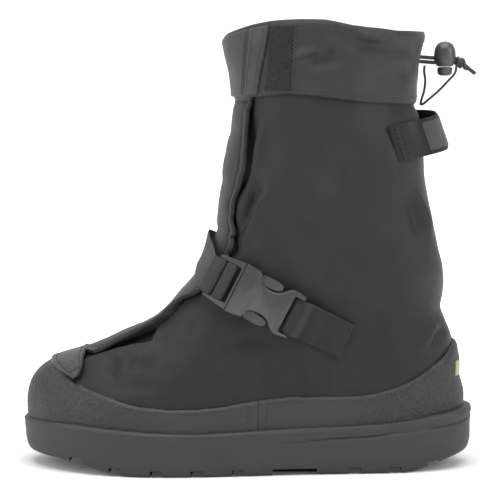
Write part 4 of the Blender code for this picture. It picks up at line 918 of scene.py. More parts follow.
# ------------------------------------------------------------------ cords, which come first
def tube(name, pts, diameter, mat, slot, nodes=(), around=14, raw_uv=True):
    pts = np.asarray(pts, float)
    t = unit(np.gradient(pts, axis=0))
    up = np.array([0, 1.0, 0.05])
    verts, uv, run_ = [], [], np.concatenate([[0], np.cumsum(np.linalg.norm(np.diff(pts, axis=0), axis=1))])
    for k, (p, d) in enumerate(zip(pts, t)):
        a = unit(np.cross(d, up))
        b = np.cross(d, a)
        for i in range(around):
            g = 2 * math.pi * i / around
            verts.append(p + (a * math.cos(g) + b * math.sin(g)) * diameter / 2)
            uv.append((run_[k], g * diameter))
    n = len(pts)
    faces = quads(n, around, 0, True)
    for end, c in ((0, pts[0] - t[0] * diameter * 0.18), (n - 1, pts[-1] + t[-1] * diameter * 0.18)):
        verts.append(c)
        uv.append((run_[end], 0))
        faces += [(end * around + i, end * around + (i + 1) % around, len(verts) - 1) for i in range(around)]
    return piece(name, np.array(verts), faces, mat, slot, nodes, np.array(uv))


def route(points, step=0.8):
    points = np.array(points, float)
    run_ = np.concatenate([[0], np.cumsum(np.linalg.norm(np.diff(points, axis=0), axis=1))])
    return smooth(run_, points)(np.linspace(0, run_[-1], max(16, int(run_[-1] / step))))


def length_of(pts):
    return float(np.linalg.norm(np.diff(pts, axis=0), axis=1).sum())


def turned(name, profile, mat, slot, nodes, sides_=64):
    r = np.array(profile, float)
    g = np.arange(sides_) * 2 * math.pi / sides_
    ring = np.stack([LOCK_X + r[1:-1, :1] * np.cos(g), LOCK_Y + r[1:-1, :1] * np.sin(g), np.repeat(r[1:-1, 1:], sides_, 1)], -1)
    verts = np.concatenate([ring.reshape(-1, 3), [(LOCK_X, LOCK_Y, r[0, 1]), (LOCK_X, LOCK_Y, r[-1, 1])]])
    n, rows_ = sides_, len(r) - 2
    faces = quads(rows_, n, 0, True)
    faces += [(i, (i + 1) % n, rows_ * n) for i in range(n)] + [((rows_ - 1) * n + i, (rows_ - 1) * n + (i + 1) % n, rows_ * n + 1) for i in range(n)]
    return piece(name, verts, faces, mat, slot, nodes, sharp=50)


def profile_of(points, n=5):
    """A turned outline with its corners softened by points between."""
    p = np.array(points, float)
    run_ = np.concatenate([[0], np.cumsum(np.linalg.norm(np.diff(p, axis=0), axis=1))])
    at_ = np.unique(np.concatenate([np.linspace(a, b, n) for a, b in zip(run_[:-1], run_[1:])]))
    q = np.stack([np.interp(at_, run_, p[:, k]) for k in (0, 1)], -1)
    for _ in range(2):
        q[1:-1] = (q[:-2] + 2 * q[1:-1] + q[2:]) / 4
    q[0, 0] = q[-1, 0] = 0.0
    return q


cuff_x = float(skin(np.array([20.0]), np.array([math.pi]))[0, 0]) + GAP + CUFF + 0.7
lock_body = turned("lock_body", profile_of(LOCK_BODY), M["buckle"], "buckle_plastic", ["cord_lock_body"])
lock_button = turned("lock_button", profile_of(LOCK_BUTTON), M["buckle"], "buckle_plastic", ["cord_lock_button"])
strand = {}
for name, z, far in (("draw_cord", CORD_Z[0], [(KNOT[0] - 2, -0.4, KNOT[2] + 0.9), (KNOT[0] + 2.6, -0.6, KNOT[2] - 1.6)] + TAIL[1:]),
                     ("return_cord", CORD_Z[1], [(KNOT[0] - 2, 0.5, KNOT[2] - 0.5), (KNOT[0] + 2.4, 1.2, KNOT[2] - 2.4), (KNOT[0] + 4.6, 1.8, KNOT[2] - 4.6)])):
    strand[name] = route([(cuff_x, 0, z + 0.7), (LOCK_X - 12.0, 0, z + 0.3), (LOCK_X - 8.0, 0, z), (LOCK_X + 3.0, 0, z), (KNOT[0] - 4.6, 0, z - 0.2)] + far)
knot_turns = []
for k in range(3):
    g = np.linspace(0, 2 * math.pi, 30)
    tip = 0.5 * math.sin(k * 2.1)
    knot_turns.append(np.stack([KNOT[0] - 2.1 + 2.05 * k + tip * np.sin(g) * 1.4, 2.35 * np.cos(g) + 0.3, KNOT[2] - 0.2 + 2.55 * np.sin(g) - 0.8 * (k - 1)], -1))
kv, kf, kuv = [], [], []
for turn_ in knot_turns:
    t_ = unit(np.roll(turn_[:-1], -1, 0) - np.roll(turn_[:-1], 1, 0))
    for j, (p, d) in enumerate(zip(turn_[:-1], t_)):
        a_ = unit(np.cross(d, (1.0, 0.0, 0.0)))
        b_ = np.cross(d, a_)
        for i in range(12):
            g = 2 * math.pi * i / 12
            kv.append(p + (a_ * math.cos(g) + b_ * math.sin(g)) * 1.3)
            kuv.append((j * 0.55, g * CORD_D))
    at_ = len(kv) - 29 * 12
    kf += [(at_ + j * 12 + i, at_ + j * 12 + (i + 1) % 12, at_ + (j + 1) % 29 * 12 + (i + 1) % 12, at_ + (j + 1) % 29 * 12 + i) for j in range(29) for i in range(12)]
knot = piece("cord_knot", np.array(kv), kf, M["cord"], "cord", ["drawcord_knot"], np.array(kuv))
for name, nodes, mates in (("draw_cord", ["drawcord", "drawcord_tail"], [lock_body, lock_button, knot]), ("return_cord", ["drawcord_return"], [])):
    o = tube(name, strand[name], CORD_D, M["cord"], "cord", nodes)
keeper_path = route(KEEPER, 0.9)
o = tube("keeper_cord", keeper_path, KEEPER_D, M["cord"], "cord", ["cord_keeper"])


# ------------------------------------------------------------------ the upper, creases listed one by one
BODY_EDGE = [(-125, 66), (-113.7, 71.6), (-105.1, 75.3), (-96.3, 78.6), (-88.1, 81.2), (-80.1, 83.6), (-73.0, 85.6), (-66.2, 87.0), (-62.7, 91.4), (-61.7, 95.1),
             (-57.7, 100.7), (-54.3, 106.8), (-50.1, 109.9), (-41.1, 116.2), (-31.3, 122.6), (-22, 131)]
GAP_LINE = [(1.0, 252.0), (-0.7, 241.1), (-2.0, 218.8), (-2.6, 202.9), (-7.0, 191.8), (-10.7, 185.2), (-12.0, 174.5), (-11.3, 162.0), (-10.0, 150.3)]
LATERAL = [
    ([(10.9, 241.2), (9.0, 226.3), (4.8, 211.7), (1.0, 201.7), (-3.7, 193.0)], 1.4, 3.0), ([(2.3, 243.5), (3.3, 230.2), (0.3, 207.0), (-5.7, 188.9)], -1.7, 2.2),
    ([(13.3, 190.1), (6.0, 180.1), (1.0, 170.0), (-6.3, 151.6)], 1.9, 3.0), ([(6.0, 199.9), (2.3, 185.9), (-1.0, 171.3), (-8.3, 153.7)], -2.6, 2.8),
    ([(68.2, 224.5), (53.8, 184.3)], -1.2, 10), ([(111.4, 191.7), (118.3, 172.9), (121.9, 155.5)], 1.3, 2.8), ([(105.0, 190.0), (112.0, 171.0), (115.5, 154.0)], -1.3, 3.2),
    ([(132.3, 97.4), (127.0, 89.3), (122.8, 80.9)], -1.6, 2.2), ([(128.5, 101), (123.0, 92.0), (118.0, 83.0)], 0.9, 2.4),
    ([(-66.4, 86.7), (-64.9, 81.3), (-72.1, 73.0)], 1.7, 2.8), ([(-89.3, 78.3), (-91.7, 70.7), (-94.6, 63.5)], -1.8, 2.8), ([(-79.0, 79.8), (-81.3, 74.0), (-83.0, 68.0)], -1.4, 2.4),
    ([(-46.5, 106.7), (-41.9, 98.5), (-33.1, 105.0)], -1.3, 3.0), ([(-104.0, 64.5), (-79.1, 58.5), (-55.5, 61.3)], -0.6, 4), ([(-30, 92), (-8, 88), (14, 96)], -0.9, 6),
    ([(20, 118), (48, 108), (80, 112)], -0.8, 8), ([(34, 210), (44, 188), (40, 168)], 0.8, 7), ([(90, 232), (98, 205), (100, 180)], 0.6, 5)]
MEDIAL = [([(10, 240), (6, 214), (-2, 192)], -1.8, 3.0), ([(16, 236), (12, 212), (4, 190)], 1.3, 3.4), ([(14, 192), (4, 172), (-6, 154)], 1.7, 3.2), ([(4, 196), (-4, 172), (-10, 156)], -2.2, 3.0),
          ([(60, 226), (48, 186)], -1.1, 10), ([(112, 190), (119, 168), (122, 150)], 1.1, 3.0), ([(-84, 79), (-88, 70), (-92, 62)], -1.5, 3.0), ([(-62, 88), (-66, 78), (-72, 68)], 1.4, 3.0),
          ([(-46, 104), (-38, 96), (-24, 100)], -1.2, 4), ([(130, 98), (122, 86)], -1.2, 3.0)]


def creased(p, n, phi):
    """Height of the creases at points of the upper, and a 0 to 1 mask of the sunken gap."""
    x, z = p[..., 0], p[..., 2]
    lat = ease(np.sin(phi), 0.05, 0.3)
    med = ease(-np.sin(phi), 0.05, 0.3)
    h = 1.15 * waves(p, 56.0, 3) + 0.22 * waves(p, 19.0, 5)
    h = h * np.where((np.abs(phi) < 1.2) & (x < 10), ease(np.abs(p[..., 1]), 10.0, 26.0), 1.0)      # flat under the front flap
    for pts_, a_, w_ in LATERAL:
        far_ = length_of(np.array(pts_, float))
        h = h + lat * fold(x, z, pts_, a_ * (2.5 if far_ > 30 else 1.9), w_ * (1.3 if far_ > 30 else 1.5))
    for pts_, a_, w_ in MEDIAL:
        h = h + med * fold(x, z, pts_, a_, w_)
    h = h + (lat * fold(x, z, GAP_LINE, -4.0, 2.6, 0, 0))
    d, t, s = line_distance(x, z, BODY_EDGE)
    over = (s > 0) & (x < -18) & (x > -124) & (z < 134)
    sunk = lat * np.where(over, ease(d, 0.0, 1.8), 0.0) * ease(x, -124, -108) * ease(-x, 18, 34) * ease(-p[..., 1], 9.0, 17.0)
    lip = lat * np.where(~over, np.exp(-(d / 2.2) ** 2), 0.0) * ease(x, -122, -108) * ease(-x, 18, 34) * (z < 134)
    low_ = ease(z, 46, 58)
    return (h * low_ + lip * 1.1 - sunk * 5.2), sunk


SIDE_A = np.sort(np.concatenate([np.linspace(0, math.pi, 201)[:-1]]))
RING = np.concatenate([SIDE_A, -np.linspace(math.pi, 0, 121)[:-1]])
V_ROWS = np.linspace(0, UPPER_TOP, 237)
gv, gp = np.meshgrid(V_ROWS, RING, indexing="ij")
p, n = skin_n(gv, gp)
h, sunk = creased(p, n, gp)
h = h * (1 - ease(gv, 17.6, 18.4))
outer = p + n * h[..., None]
iv, ip = np.meshgrid(V_ROWS[::4], RING[::4], indexing="ij")
q, m_ = skin_n(iv, ip)
inner = q - m_ * (WALL - np.minimum(h[::4, ::4], 0))[..., None]
verts, faces, at_ = shell(outer, inner, 4)
fm = np.zeros(len(faces), int)
outer_faces = (len(V_ROWS) - 1) * len(RING)
inner_faces = (len(V_ROWS[::4]) - 1) * len(RING[::4])
fm[outer_faces:outer_faces + inner_faces] = 1
dark = np.concatenate([sunk.ravel(), np.zeros(inner.shape[0] * inner.shape[1])])
piece("upper_shell", verts, faces, [M["nylon"], M["liner"]], "nylon", ["upper"], fields={"dark": dark}, face_mat=fm, sharp=55)

# The rand, with a skived top edge.
line_of = smooth(*np.array(RAND_LINE).T)


def rand_grid(front, many=150, rows_=30):
    seam_ = {s: phi_at_x(1.0, RAND_SEAM_X + (-GAP / 2 if front else GAP / 2), s) for s in (1, -1)}
    phis = np.linspace(seam_[-1], seam_[1], many) if front else np.linspace(seam_[1], 2 * math.pi + seam_[-1], many)
    wrapped = np.where(phis > math.pi, phis - 2 * math.pi, phis)
    tops = np.array([rand_top(a) for a in wrapped])
    vs = 0.02 + (tops[:, None] - 0.02) * np.linspace(0, 1, rows_)[None] ** 0.9
    ph = np.repeat(wrapped[:, None], rows_, 1)
    p_, n_ = skin_n(vs, ph)
    edge = np.linspace(0, 1, rows_)[None] * np.linalg.norm(p_[:, -1] - p_[:, 0], axis=1)[:, None]
    top_d = edge[:, -1:] - edge
    end_d = np.minimum(np.abs(p_[..., 0] - RAND_SEAM_X), 9.0)
    feather_ = np.clip(top_d / 4.5, 0, 1)
    t_ = RAND * (0.15 + 0.85 * np.clip(top_d / 2.4, 0, 1) ** 0.6) * (0.45 + 0.55 * np.clip(end_d / 1.0, 0, 1) ** 0.5) + 0.10 * waves(p_, 22.0, 9)
    return p_ + n_ * (GAP + 0.35 + EASE * feather_ + t_)[..., None], p_ + n_ * (GAP * 0.5), n_


for name, front in (("rand_toe_half", True), ("rand_heel_half", False)):
    o_, i_, n_ = rand_grid(front)
    piece(name, *slab(o_, i_), M["rand"], "rand", ["rand_front" if front else "rand_rear"])
    for side_, col in ((0, 0), (1, -1)):
        k_ = 2 if front else 2
        c_ = o_[k_ if col == 0 else -1 - k_]
        keep = c_[:, 2] > 30
        a_, b_, nn = stitch_line(c_[keep] + n_[k_ if col == 0 else -1 - k_][keep] * 0.05, n_[k_ if col == 0 else -1 - k_][keep], 2.4, 1.0)
        capsules(name + "_seam_stitches_%d" % side_, a_, b_, nn, 0.65, M["thread"], "rand")
    c_, nn_ = o_[:, -4], n_[:, -4]
    a_, b_, nn = stitch_line(c_, nn_, 2.3, 1.0)
    capsules(name + "_edge_stitches", a_, b_, nn, 0.55, M["thread"], "rand")

# ------------------------------------------------------------------ the cup sole
AROUND_FINE = 288
PHI_F = np.concatenate([np.linspace(0, math.pi, AROUND_FINE // 2 + 1), -np.linspace(0, math.pi, AROUND_FINE // 2 + 1)[-2:0:-1]])
base = skin(np.full(AROUND_FINE, 0.5), PHI_F)[:, :2]
base_n = plan_normals(base)
heel_share, toe_share = ease(base[:, 0], 100.0, 146.0), ease(-base[:, 0], 85.0, 149.0)
heel_rise, toe_rise = ease(base[:, 0], 104.0, 148.0), ease(-base[:, 0], 75.0, 132.0)


def sole_loop(side, toe, heel, side_z, toe_z, heel_z, z=None):
    out = side + (toe - side) * toe_share + (heel - side) * heel_share
    p = base + base_n * out[:, None]
    height = side_z + (toe_z - side_z) * toe_rise + (heel_z - side_z) * heel_rise if z is None else z
    return np.concatenate([p, np.broadcast_to(np.asarray(height, float).reshape(-1, 1), (AROUND_FINE, 1))], 1)


wall_rows = table(SOLE_WALL)
wall_of = smooth(np.arange(len(wall_rows)), wall_rows)
loops = []
for s_ in np.linspace(0, len(wall_rows) - 1, 6 * (len(wall_rows) - 1) + 1):
    if s_ < 1:
        row = wall_rows[0] + (wall_rows[1] - wall_rows[0]) * s_
    else:
        row = wall_of(np.array([s_]))[0]
    loops.append(sole_loop(*row))
rim = rim_z(base[:, 0])
clear = 2 * GAP + EASE + RAND
groove = 1.0 * np.exp(-((np.array([lo[:, 2] for lo in loops]) - np.interp(base[:, 0], [-120, -40, 33, 49, 79, 104, 126, 140, 151], [21.5, 20.4, 21.7, 23.5, 24.8, 27.7, 29.7, 31.9, 37.6])) / 0.9) ** 2)
for lo, g_ in zip(loops, groove):
    lo[:, :2] -= base_n * (g_ * (0.15 + 1.05 * ease(base[:, 0], 5.0, 50.0)))[:, None]
last_z = loops[-1][:, 2]
for f_ in np.linspace(0.15, 1, 8):
    zz = last_z + (rim - 0.7 - last_z) * f_
    end = sole_loop(*RIM_OUT, 0, 0, 0, z=0.0)
    q_ = loops[6 * (len(wall_rows) - 1)][:, :2] * (1 - f_) + end[:, :2] * f_ + base_n * (0.55 * math.sin(math.pi * f_))
    loops.append(np.c_[q_, zz])
loops.append(sole_loop(RIM_OUT[0] - 0.25, RIM_OUT[1] - 0.22, RIM_OUT[2] - 0.3, 0, 0, 0, z=rim - 0.22))
loops.append(sole_loop(RIM_OUT[0] - 0.8, RIM_OUT[1] - 0.7, RIM_OUT[2] - 0.9, 0, 0, 0, z=rim))
loops.append(sole_loop(clear - 0.35, clear - 0.35, clear - 0.35, 0, 0, 0, z=rim))
loops.append(sole_loop(clear - 0.4, clear - 0.4, clear - 0.4, 0, 0, 0, z=FLOOR_Z))


def tread_z(x):
    return 7.4 * ease(-x, 75.0, 132.0) + 5.6 * ease(x, 104.0, 148.0)


def fan(ids):
    k_ = len(ids)
    return [(ids[i], ids[i + 1], ids[(k_ - i - 1) % k_], ids[(k_ - i) % k_]) for i in range(k_ // 2)]


def tidy(faces_):
    out_ = []
    for f in faces_:
        ids_ = []
        for k_ in f:
            if k_ not in ids_:
                ids_.append(k_)
        if len(ids_) > 2:
            out_.append(ids_)
    return out_


def plain(name, verts_, faces_):
    """A solid used to cut others, or to be cut."""
    mesh = bpy.data.meshes.new(name)
    mesh.from_pydata(((np.asarray(verts_, float) + np.array(SHIFT)) * MM).tolist(), [], tidy([tuple(int(k_) for k_ in f) for f in faces_]))
    bm = bmesh.new()
    bm.from_mesh(mesh)
    bmesh.ops.recalc_face_normals(bm, faces=bm.faces)
    bm.to_mesh(mesh)
    bm.free()
    o = bpy.data.objects.new(name, mesh)
    bpy.context.scene.collection.objects.link(o)
    return o


def carve(name, body, tools, mat, nodes, bevel=0.0, segments=2, sharp=38.0, inner=None):
    """Cuts and joins solids. inner is the material of the cut faces."""
    for k, o in enumerate([body] + [t for t, _ in tools]):
        o.data.materials.append(mat)
        o.data.materials.append(inner or mat)
        o.data.polygons.foreach_set("material_index", np.full(len(o.data.polygons), 1 if k and inner else 0, np.int32))
    for tool, op in tools:
        mod = body.modifiers.new(tool.name, "BOOLEAN")
        mod.operation, mod.object, mod.solver = op, tool, "EXACT"
    if bevel:
        mod = body.modifiers.new("edge", "BEVEL")
        mod.width, mod.segments, mod.limit_method, mod.angle_limit = bevel * MM, segments, "ANGLE", math.radians(32)
        mod.use_clamp_overlap = True
    mesh = frozen(body)
    mesh.name = name
    mesh.shade_smooth()
    mesh.set_sharp_from_angle(angle=math.radians(sharp))
    o = bpy.data.objects.new(name, mesh)
    bpy.context.scene.collection.objects.link(o)
    for old_ in [body] + [t for t, _ in tools]:
        bpy.data.objects.remove(old_)
    return settle(o, nodes)


def prism(plan, low, high):
    plan = np.asarray(plan, float)
    k_ = len(plan)
    return (np.concatenate([np.c_[plan, np.full(k_, low)], np.c_[plan, np.full(k_, high)]]),
            [tuple(range(k_))[::-1], tuple(range(k_, 2 * k_))] + [(i, (i + 1) % k_, k_ + (i + 1) % k_, k_ + i) for i in range(k_)])


def gather(parts):
    vs_, fs_, at = [], [], 0
    for v, f in parts:
        vs_.append(v)
        fs_ += [tuple(k_ + at for k_ in face) for face in f]
        at += len(v)
    return np.concatenate(vs_), fs_


def edge_y(x, side, inset):
    loop = sole_loop(*table(SOLE_WALL)[2])
    half_ = loop[:AROUND_FINE // 2 + 1] if side < 0 else np.concatenate([loop[AROUND_FINE // 2:], loop[:1]])[::-1]
    return float(np.interp(x, half_[:, 0], half_[:, 1])) - side * inset


kk = AROUND_FINE
verts = np.concatenate(loops)
faces = quads(len(loops), kk, 0, True) + fan(list(range(kk))) + fan([(len(loops) - 1) * kk + i for i in range(kk)])
sole = plain("sole_body", verts, faces)
notch_parts, bar_parts = [], []
for x, width in NOTCHES:
    top = float(tread_z(np.array(x))) + LUG_DEPTH
    for side in (-1, 1):
        inner_ = edge_y(x, side, 21.0 if width < 20 else 13.0)
        lean_ = 2.0 if width < 20 else 0.0
        hw = width / 2
        notch_parts.append(prism([(x - hw + lean_, inner_), (x + hw + lean_, inner_), (x + hw, side * 80.0), (x - hw, side * 80.0)], -6.0, top))
for x in (-104.0, -76.5, -49.0, -21.5, 6.0, 56.0, 84.0, 110.5):
    top = float(tread_z(np.array(x))) + LUG_DEPTH - 0.4
    a_, b_ = edge_y(x, -1, 25.0), edge_y(x, 1, 25.0)
    mid = (a_ + b_) / 2
    bar_parts.append(prism([(x + 2, a_), (x + 8, a_), (x, mid), (x + 8, b_), (x + 2, b_), (x - 6, mid)], -6.0, top))
# The faces cut by the notches and bars get the near-black rubber, painted shade in the tread recesses.
carve("cup_sole", sole, [(plain("notches", *gather(notch_parts)), "DIFFERENCE"), (plain("bars", *gather(bar_parts)), "DIFFERENCE")], M["sole"], ["outsole"], sharp=33, inner=M["recess"])

ring_ = skin(np.full(kk, 0.1), PHI_F)[:, :2]
ring_ = ring_ - plan_normals(ring_) * (WALL + 0.5)
ins = [np.c_[ring_ - plan_normals(ring_) * w_, np.full(kk, z_)] for z_, w_ in ((FLOOR_Z + GAP, 0.0), (FLOOR_Z + GAP + 2.8, 0.0), (FLOOR_Z + GAP + 3.6, 0.4), (FLOOR_Z + GAP + 4.0, 1.4))]
piece("insole_board", np.concatenate(ins), tidy(quads(4, kk, 0, True) + fan(list(range(kk))) + fan([3 * kk + i for i in range(kk)])), M["liner"], "lining", ["insole"])

# ------------------------------------------------------------------ the toe patch
low = 2 * GAP + 0.1 + EASE + RAND
front_c = smooth(*np.array([(r[0], r[1]) for r in TOE_PATCH]).T)
rear_c = smooth(*np.array([(r[0], r[2]) for r in TOE_PATCH]).T)
NA, NS = 97, 41
pa = np.zeros((NA, NS, 3))
for i, a in enumerate(np.linspace(-1, 1, NA)):
    x0, x1 = float(front_c(abs(a))), float(rear_c(abs(a)))
    for j, s_ in enumerate(np.linspace(0, 1, NS)):
        x = x0 + (x1 - x0) * s_
        pa[i, j] = cast((x, float(centre_y(x)) * 0.9 + a * (TOE_PATCH_HALF + 2.8), 160.0), (0, 0, -1), 0.0)
pn = unit(np.cross(np.gradient(pa, axis=0), np.gradient(pa, axis=1)))
pn = np.where(pn[..., 2:] < 0, -pn, pn)
ai, si = np.meshgrid(np.arange(NA), np.arange(NS), indexing="ij")
ed = np.minimum(np.minimum(ai, NA - 1 - ai) * 66 / NA, np.minimum(si, NS - 1 - si) * 23 / NS)
top_ = low + PATCH * (0.30 + 0.70 * np.clip(ed / 0.9, 0, 1) ** 0.5) + 0.55 * np.exp(-((ed - 1.4) / 1.1) ** 2) - 0.35 * np.exp(-((ed - 3.4) / 0.7) ** 2)
pout, pin = pa + pn * top_[..., None], pa + pn * (low - 0.5)
piece("toe_bumper", *slab(pout, pin), M["patch"], "rand", ["toe_patch"])
loop_ids = [(i, 6) for i in range(6, NA - 6)] + [(NA - 7, j) for j in range(7, NS - 6)] + [(i, NS - 7) for i in range(NA - 8, 5, -1)] + [(6, j) for j in range(NS - 8, 6, -1)]
c_ = np.array([pout[i, j] for i, j in loop_ids])
nn_ = np.array([pn[i, j] for i, j in loop_ids])
capsules("toe_bumper_stitches", *stitch_line(c_ + nn_ * 0.1, nn_, 2.2, 0.9), 0.6, M["thread"], "rand")

# ------------------------------------------------------------------ the front flap
FLAP_EDGE = [(5.0, 22.5), (5.35, 21.5), (5.7, 20.6), (6, 20), (6.25, 19.6), (6.5, 20), (6.75, 20.5), (7, 19.8), (7.25, 19), (7.5, 18.6), (8, 19), (8.25, 20.2), (8.5, 22), (9, 21.8), (9.5, 25), (9.75, 29.5),
             (10, 35.5), (10.5, 38.5), (11, 39), (12, 42), (13, 41), (14, 37.6), (15, 40), (15.5, 40.5), (16, 38.5), (16.5, 36.5), (17, 34.5), (18.1, 33.5)]
ft = np.array(FRONT_FLAP)
med_w, lift_c, rise_c = (smooth(ft[:, 0], ft[:, k]) for k in (2, 3, 4))
lat_w = smooth(*np.array(FLAP_EDGE).T)
FV = np.linspace(5.02, 18.22, 178)
NC = 66
fphi, fout, fin = np.zeros((len(FV), NC)), np.zeros((len(FV), NC)), np.zeros((len(FV), NC))
for i, v in enumerate(FV):
    mid = float(skin(np.array([v]), np.array([0.0]))[0, 1])
    a, b = phi_at_y(v, -float(lat_w(v)) + mid), phi_at_y(v, float(med_w(max(v, 5.35))) + mid)
    w0 = float(lat_w(v))
    t_ = np.concatenate([1 - np.linspace(0, 1, 40)[:-1], -np.linspace(0, 1, NC - 39)])
    fphi[i] = np.where(t_ > 0, a * t_, b * -t_)
    share = np.clip(t_, 0, 1)
    proud = np.where(t_ >= 0, 1.0, 1 - ease(-t_, 0, 1))
    edge = np.minimum(np.where(t_ > 0, (1 - t_) * w0, (1 + t_) * float(med_w(v))), np.minimum((v - 4.9) * 14, (18.3 - v) * 14))
    fold_ = 0.8 * np.exp(-((edge - 1.2) / 1.4) ** 2) - 0.5 * np.exp(-((edge - 5.2) / 0.8) ** 2) * (t_ > 0)
    under = float(1 - ease(np.array(v), 17.3, 18.05))
    fin[i] = GAP + 0.3 + under * (float(lift_c(min(max(v, 5.35), 17.75))) * share + float(rise_c(min(max(v, 5.35), 17.75))) * proud)
    fout[i] = fin[i] + FLAP * (0.5 + 0.5 * under) * (0.4 + 0.6 * np.clip(edge / 0.9, 0, 1) ** 0.5) + fold_
fvv = np.repeat(FV[:, None], NC, 1)
p, n = skin_n(fvv, fphi)
wv = 0.35 * waves(p, 40.0, 21) + 0.10 * waves(p, 12.0, 22)
strapped = np.exp(-((fvv - 12.2) / 0.9) ** 2)
wv = wv * (1 - strapped) - 0.3 * strapped
for pts_, a_, w_ in [([(-24, 165), (-14, 158)], -0.9, 3), ([(-22, 200), (-10, 190)], -0.8, 4), ([(-18, 176), (-9, 182)], 0.8, 3), ([(-76, 92), (-68, 98)], -0.7, 3), ([(-14, 225), (-4, 232)], -0.7, 4)]:
    wv = wv + fold(p[..., 0], p[..., 2], pts_, a_, w_)
f_out, f_in = p + n * (fout + wv)[..., None], p + n * np.where(fphi < 0.25, 0.15, fin + np.minimum(wv, 0))[..., None]
piece("closure_flap", *slab(f_out, f_in), M["flap"], "nylon", ["front_flap"], sharp=60)
c_, nn_ = f_out[3:-3, 6], n[3:-3, 6]
capsules("closure_flap_stitches", *stitch_line(c_ + nn_ * 0.05, nn_, 2.4, 0.9), 0.5, M["thread"], "nylon")

# ------------------------------------------------------------------ the cuff
CV = 18.05 + (TOP - 18.05) * np.linspace(0, 1, 80)
gv, gp = np.meshgrid(CV, RING, indexing="ij")
p, n = skin_n(gv, gp)
x, z = p[..., 0], p[..., 2]
lat, med = ease(np.sin(gp), 0.05, 0.3), ease(-np.sin(gp), 0.05, 0.3)
CUFF_FOLDS = [([(26.6, 277.7), (35.8, 280.3), (46.0, 283.5)], 1.6, 2.0), ([(33.9, 263.3), (53.6, 264.6), (80.1, 273.1)], 1.3, 7), ([(67.9, 296.6), (78.5, 294.7), (90.0, 295.5)], 1.3, 2.2),
              ([(33.9, 275.0), (48.3, 276.3), (63.4, 281.6)], -1.8, 3.2), ([(60.1, 288.1), (83.3, 288.2), (108.4, 284.9)], -1.4, 4), ([(66.9, 260.0), (87.0, 264.6), (114.0, 276.1)], -1.3, 4),
              ([(48, 292), (60, 284), (70, 286)], 0.9, 3), ([(92, 280), (106, 272), (116, 262)], 1.0, 3.5)]
h = 0.35 * waves(p, 40.0, 31) + 0.22 * waves(p, 15.0, 32)
for pts_, a_, w_ in CUFF_FOLDS:
    h = h + lat * fold(x, z, pts_, a_ * 1.9, w_ * 1.6) + med * fold(x, z, [(q[0] + 6, q[1] - 3) for q in pts_], a_ * 0.8, w_)
h = np.maximum(h, -2.4) + 1.0
share = (gv - 18.05) / (TOP - 18.05)
height = share * 46.0
roll_low, roll_top = np.clip(height / 1.6, 0, 1), np.clip((46.0 - height) / 1.8, 0, 1)
h = h * ease(height, 1, 6) * ease(46.0 - height, 0.5, 4) + 0.35 * np.exp(-((height - 1.6) / 2.0) ** 2) - 0.15 * np.exp(-((height - 5.0) / 0.9) ** 2) + 0.2 * np.exp(-((46 - height - 2.0) / 2.2) ** 2)
dz = np.interp(x, [-17, -8, 3, 17, 34, 51, 68, 85, 99, 110, 119], [1.5, 2.3, 3.0, 2.8, 1.4, 0, -3.6, -5, -4.4, -2.5, -0.6]) * ease(gv, 19.6, 21.0) * (0.35 + 0.65 * lat)
outer = p + n * (GAP + CUFF * (0.4 + 0.6 * np.minimum(roll_low, roll_top) ** 0.5) + h)[..., None]
hem = np.interp(x[0], [-8, 1, 11, 27.4, 53.7, 76.9, 114.2], [251.5, 252.1, 252.1, 254.1, 251.4, 248.2, 246.8])
dz = dz + ((hem - z[0]) * (0.25 + 0.75 * lat[0]))[None] * (1 - ease(height, 0.0, 20.0))
outer[..., 2] += dz
q = p + n * (GAP * 0.6)
q[..., 2] += dz
inner = q[::1, ::4]
inner = inner[np.r_[0:79:6, 79]] if False else inner
verts = np.concatenate([outer.reshape(-1, 3), inner.reshape(-1, 3)])
a_, b_, d_ = outer.shape[0], outer.shape[1], inner.shape[1]
faces = quads(a_, b_, 0, True) + quads(a_, d_, a_ * b_, True)
cuff_face = len(faces)
for ro in (0, a_ - 1):
    for j in range(d_):
        faces.append([ro * b_ + (j * 4 + k) % b_ for k in range(5)] + [a_ * b_ + ro * d_ + (j + 1) % d_, a_ * b_ + ro * d_ + j])
fm = np.zeros(len(faces), int)
fm[a_ * b_ - b_:cuff_face] = 1
piece("cuff_band", verts, faces, [M["cuff"], M["liner"]], "nylon", ["cuff"], face_mat=fm, sharp=60)
for name, row in (("cuff_hem_stitches", 8), ("cuff_top_stitches", 70)):
    c_ = np.concatenate([outer[row], outer[row][:1]])
    nn_ = np.concatenate([n[row], n[row][:1]])
    capsules(name, *stitch_line(c_, nn_, 2.3, 1.0), 0.5, M["thread"], "nylon")


def on_cuff(x_, z_, out_=0.0):
    """Point and normal on the cuff's outside, lateral side, nearest to x, z of the side view."""
    d_ = np.where(np.sin(gp) > 0.02, (outer[..., 0] - x_) ** 2 + (outer[..., 2] - z_) ** 2, 1e9)
    i_, j_ = np.unravel_index(np.argmin(d_), d_.shape)
    return outer[i_, j_] + n[i_, j_] * out_ + np.array([x_ - outer[i_, j_, 0], 0, z_ - outer[i_, j_, 2]]), n[i_, j_]


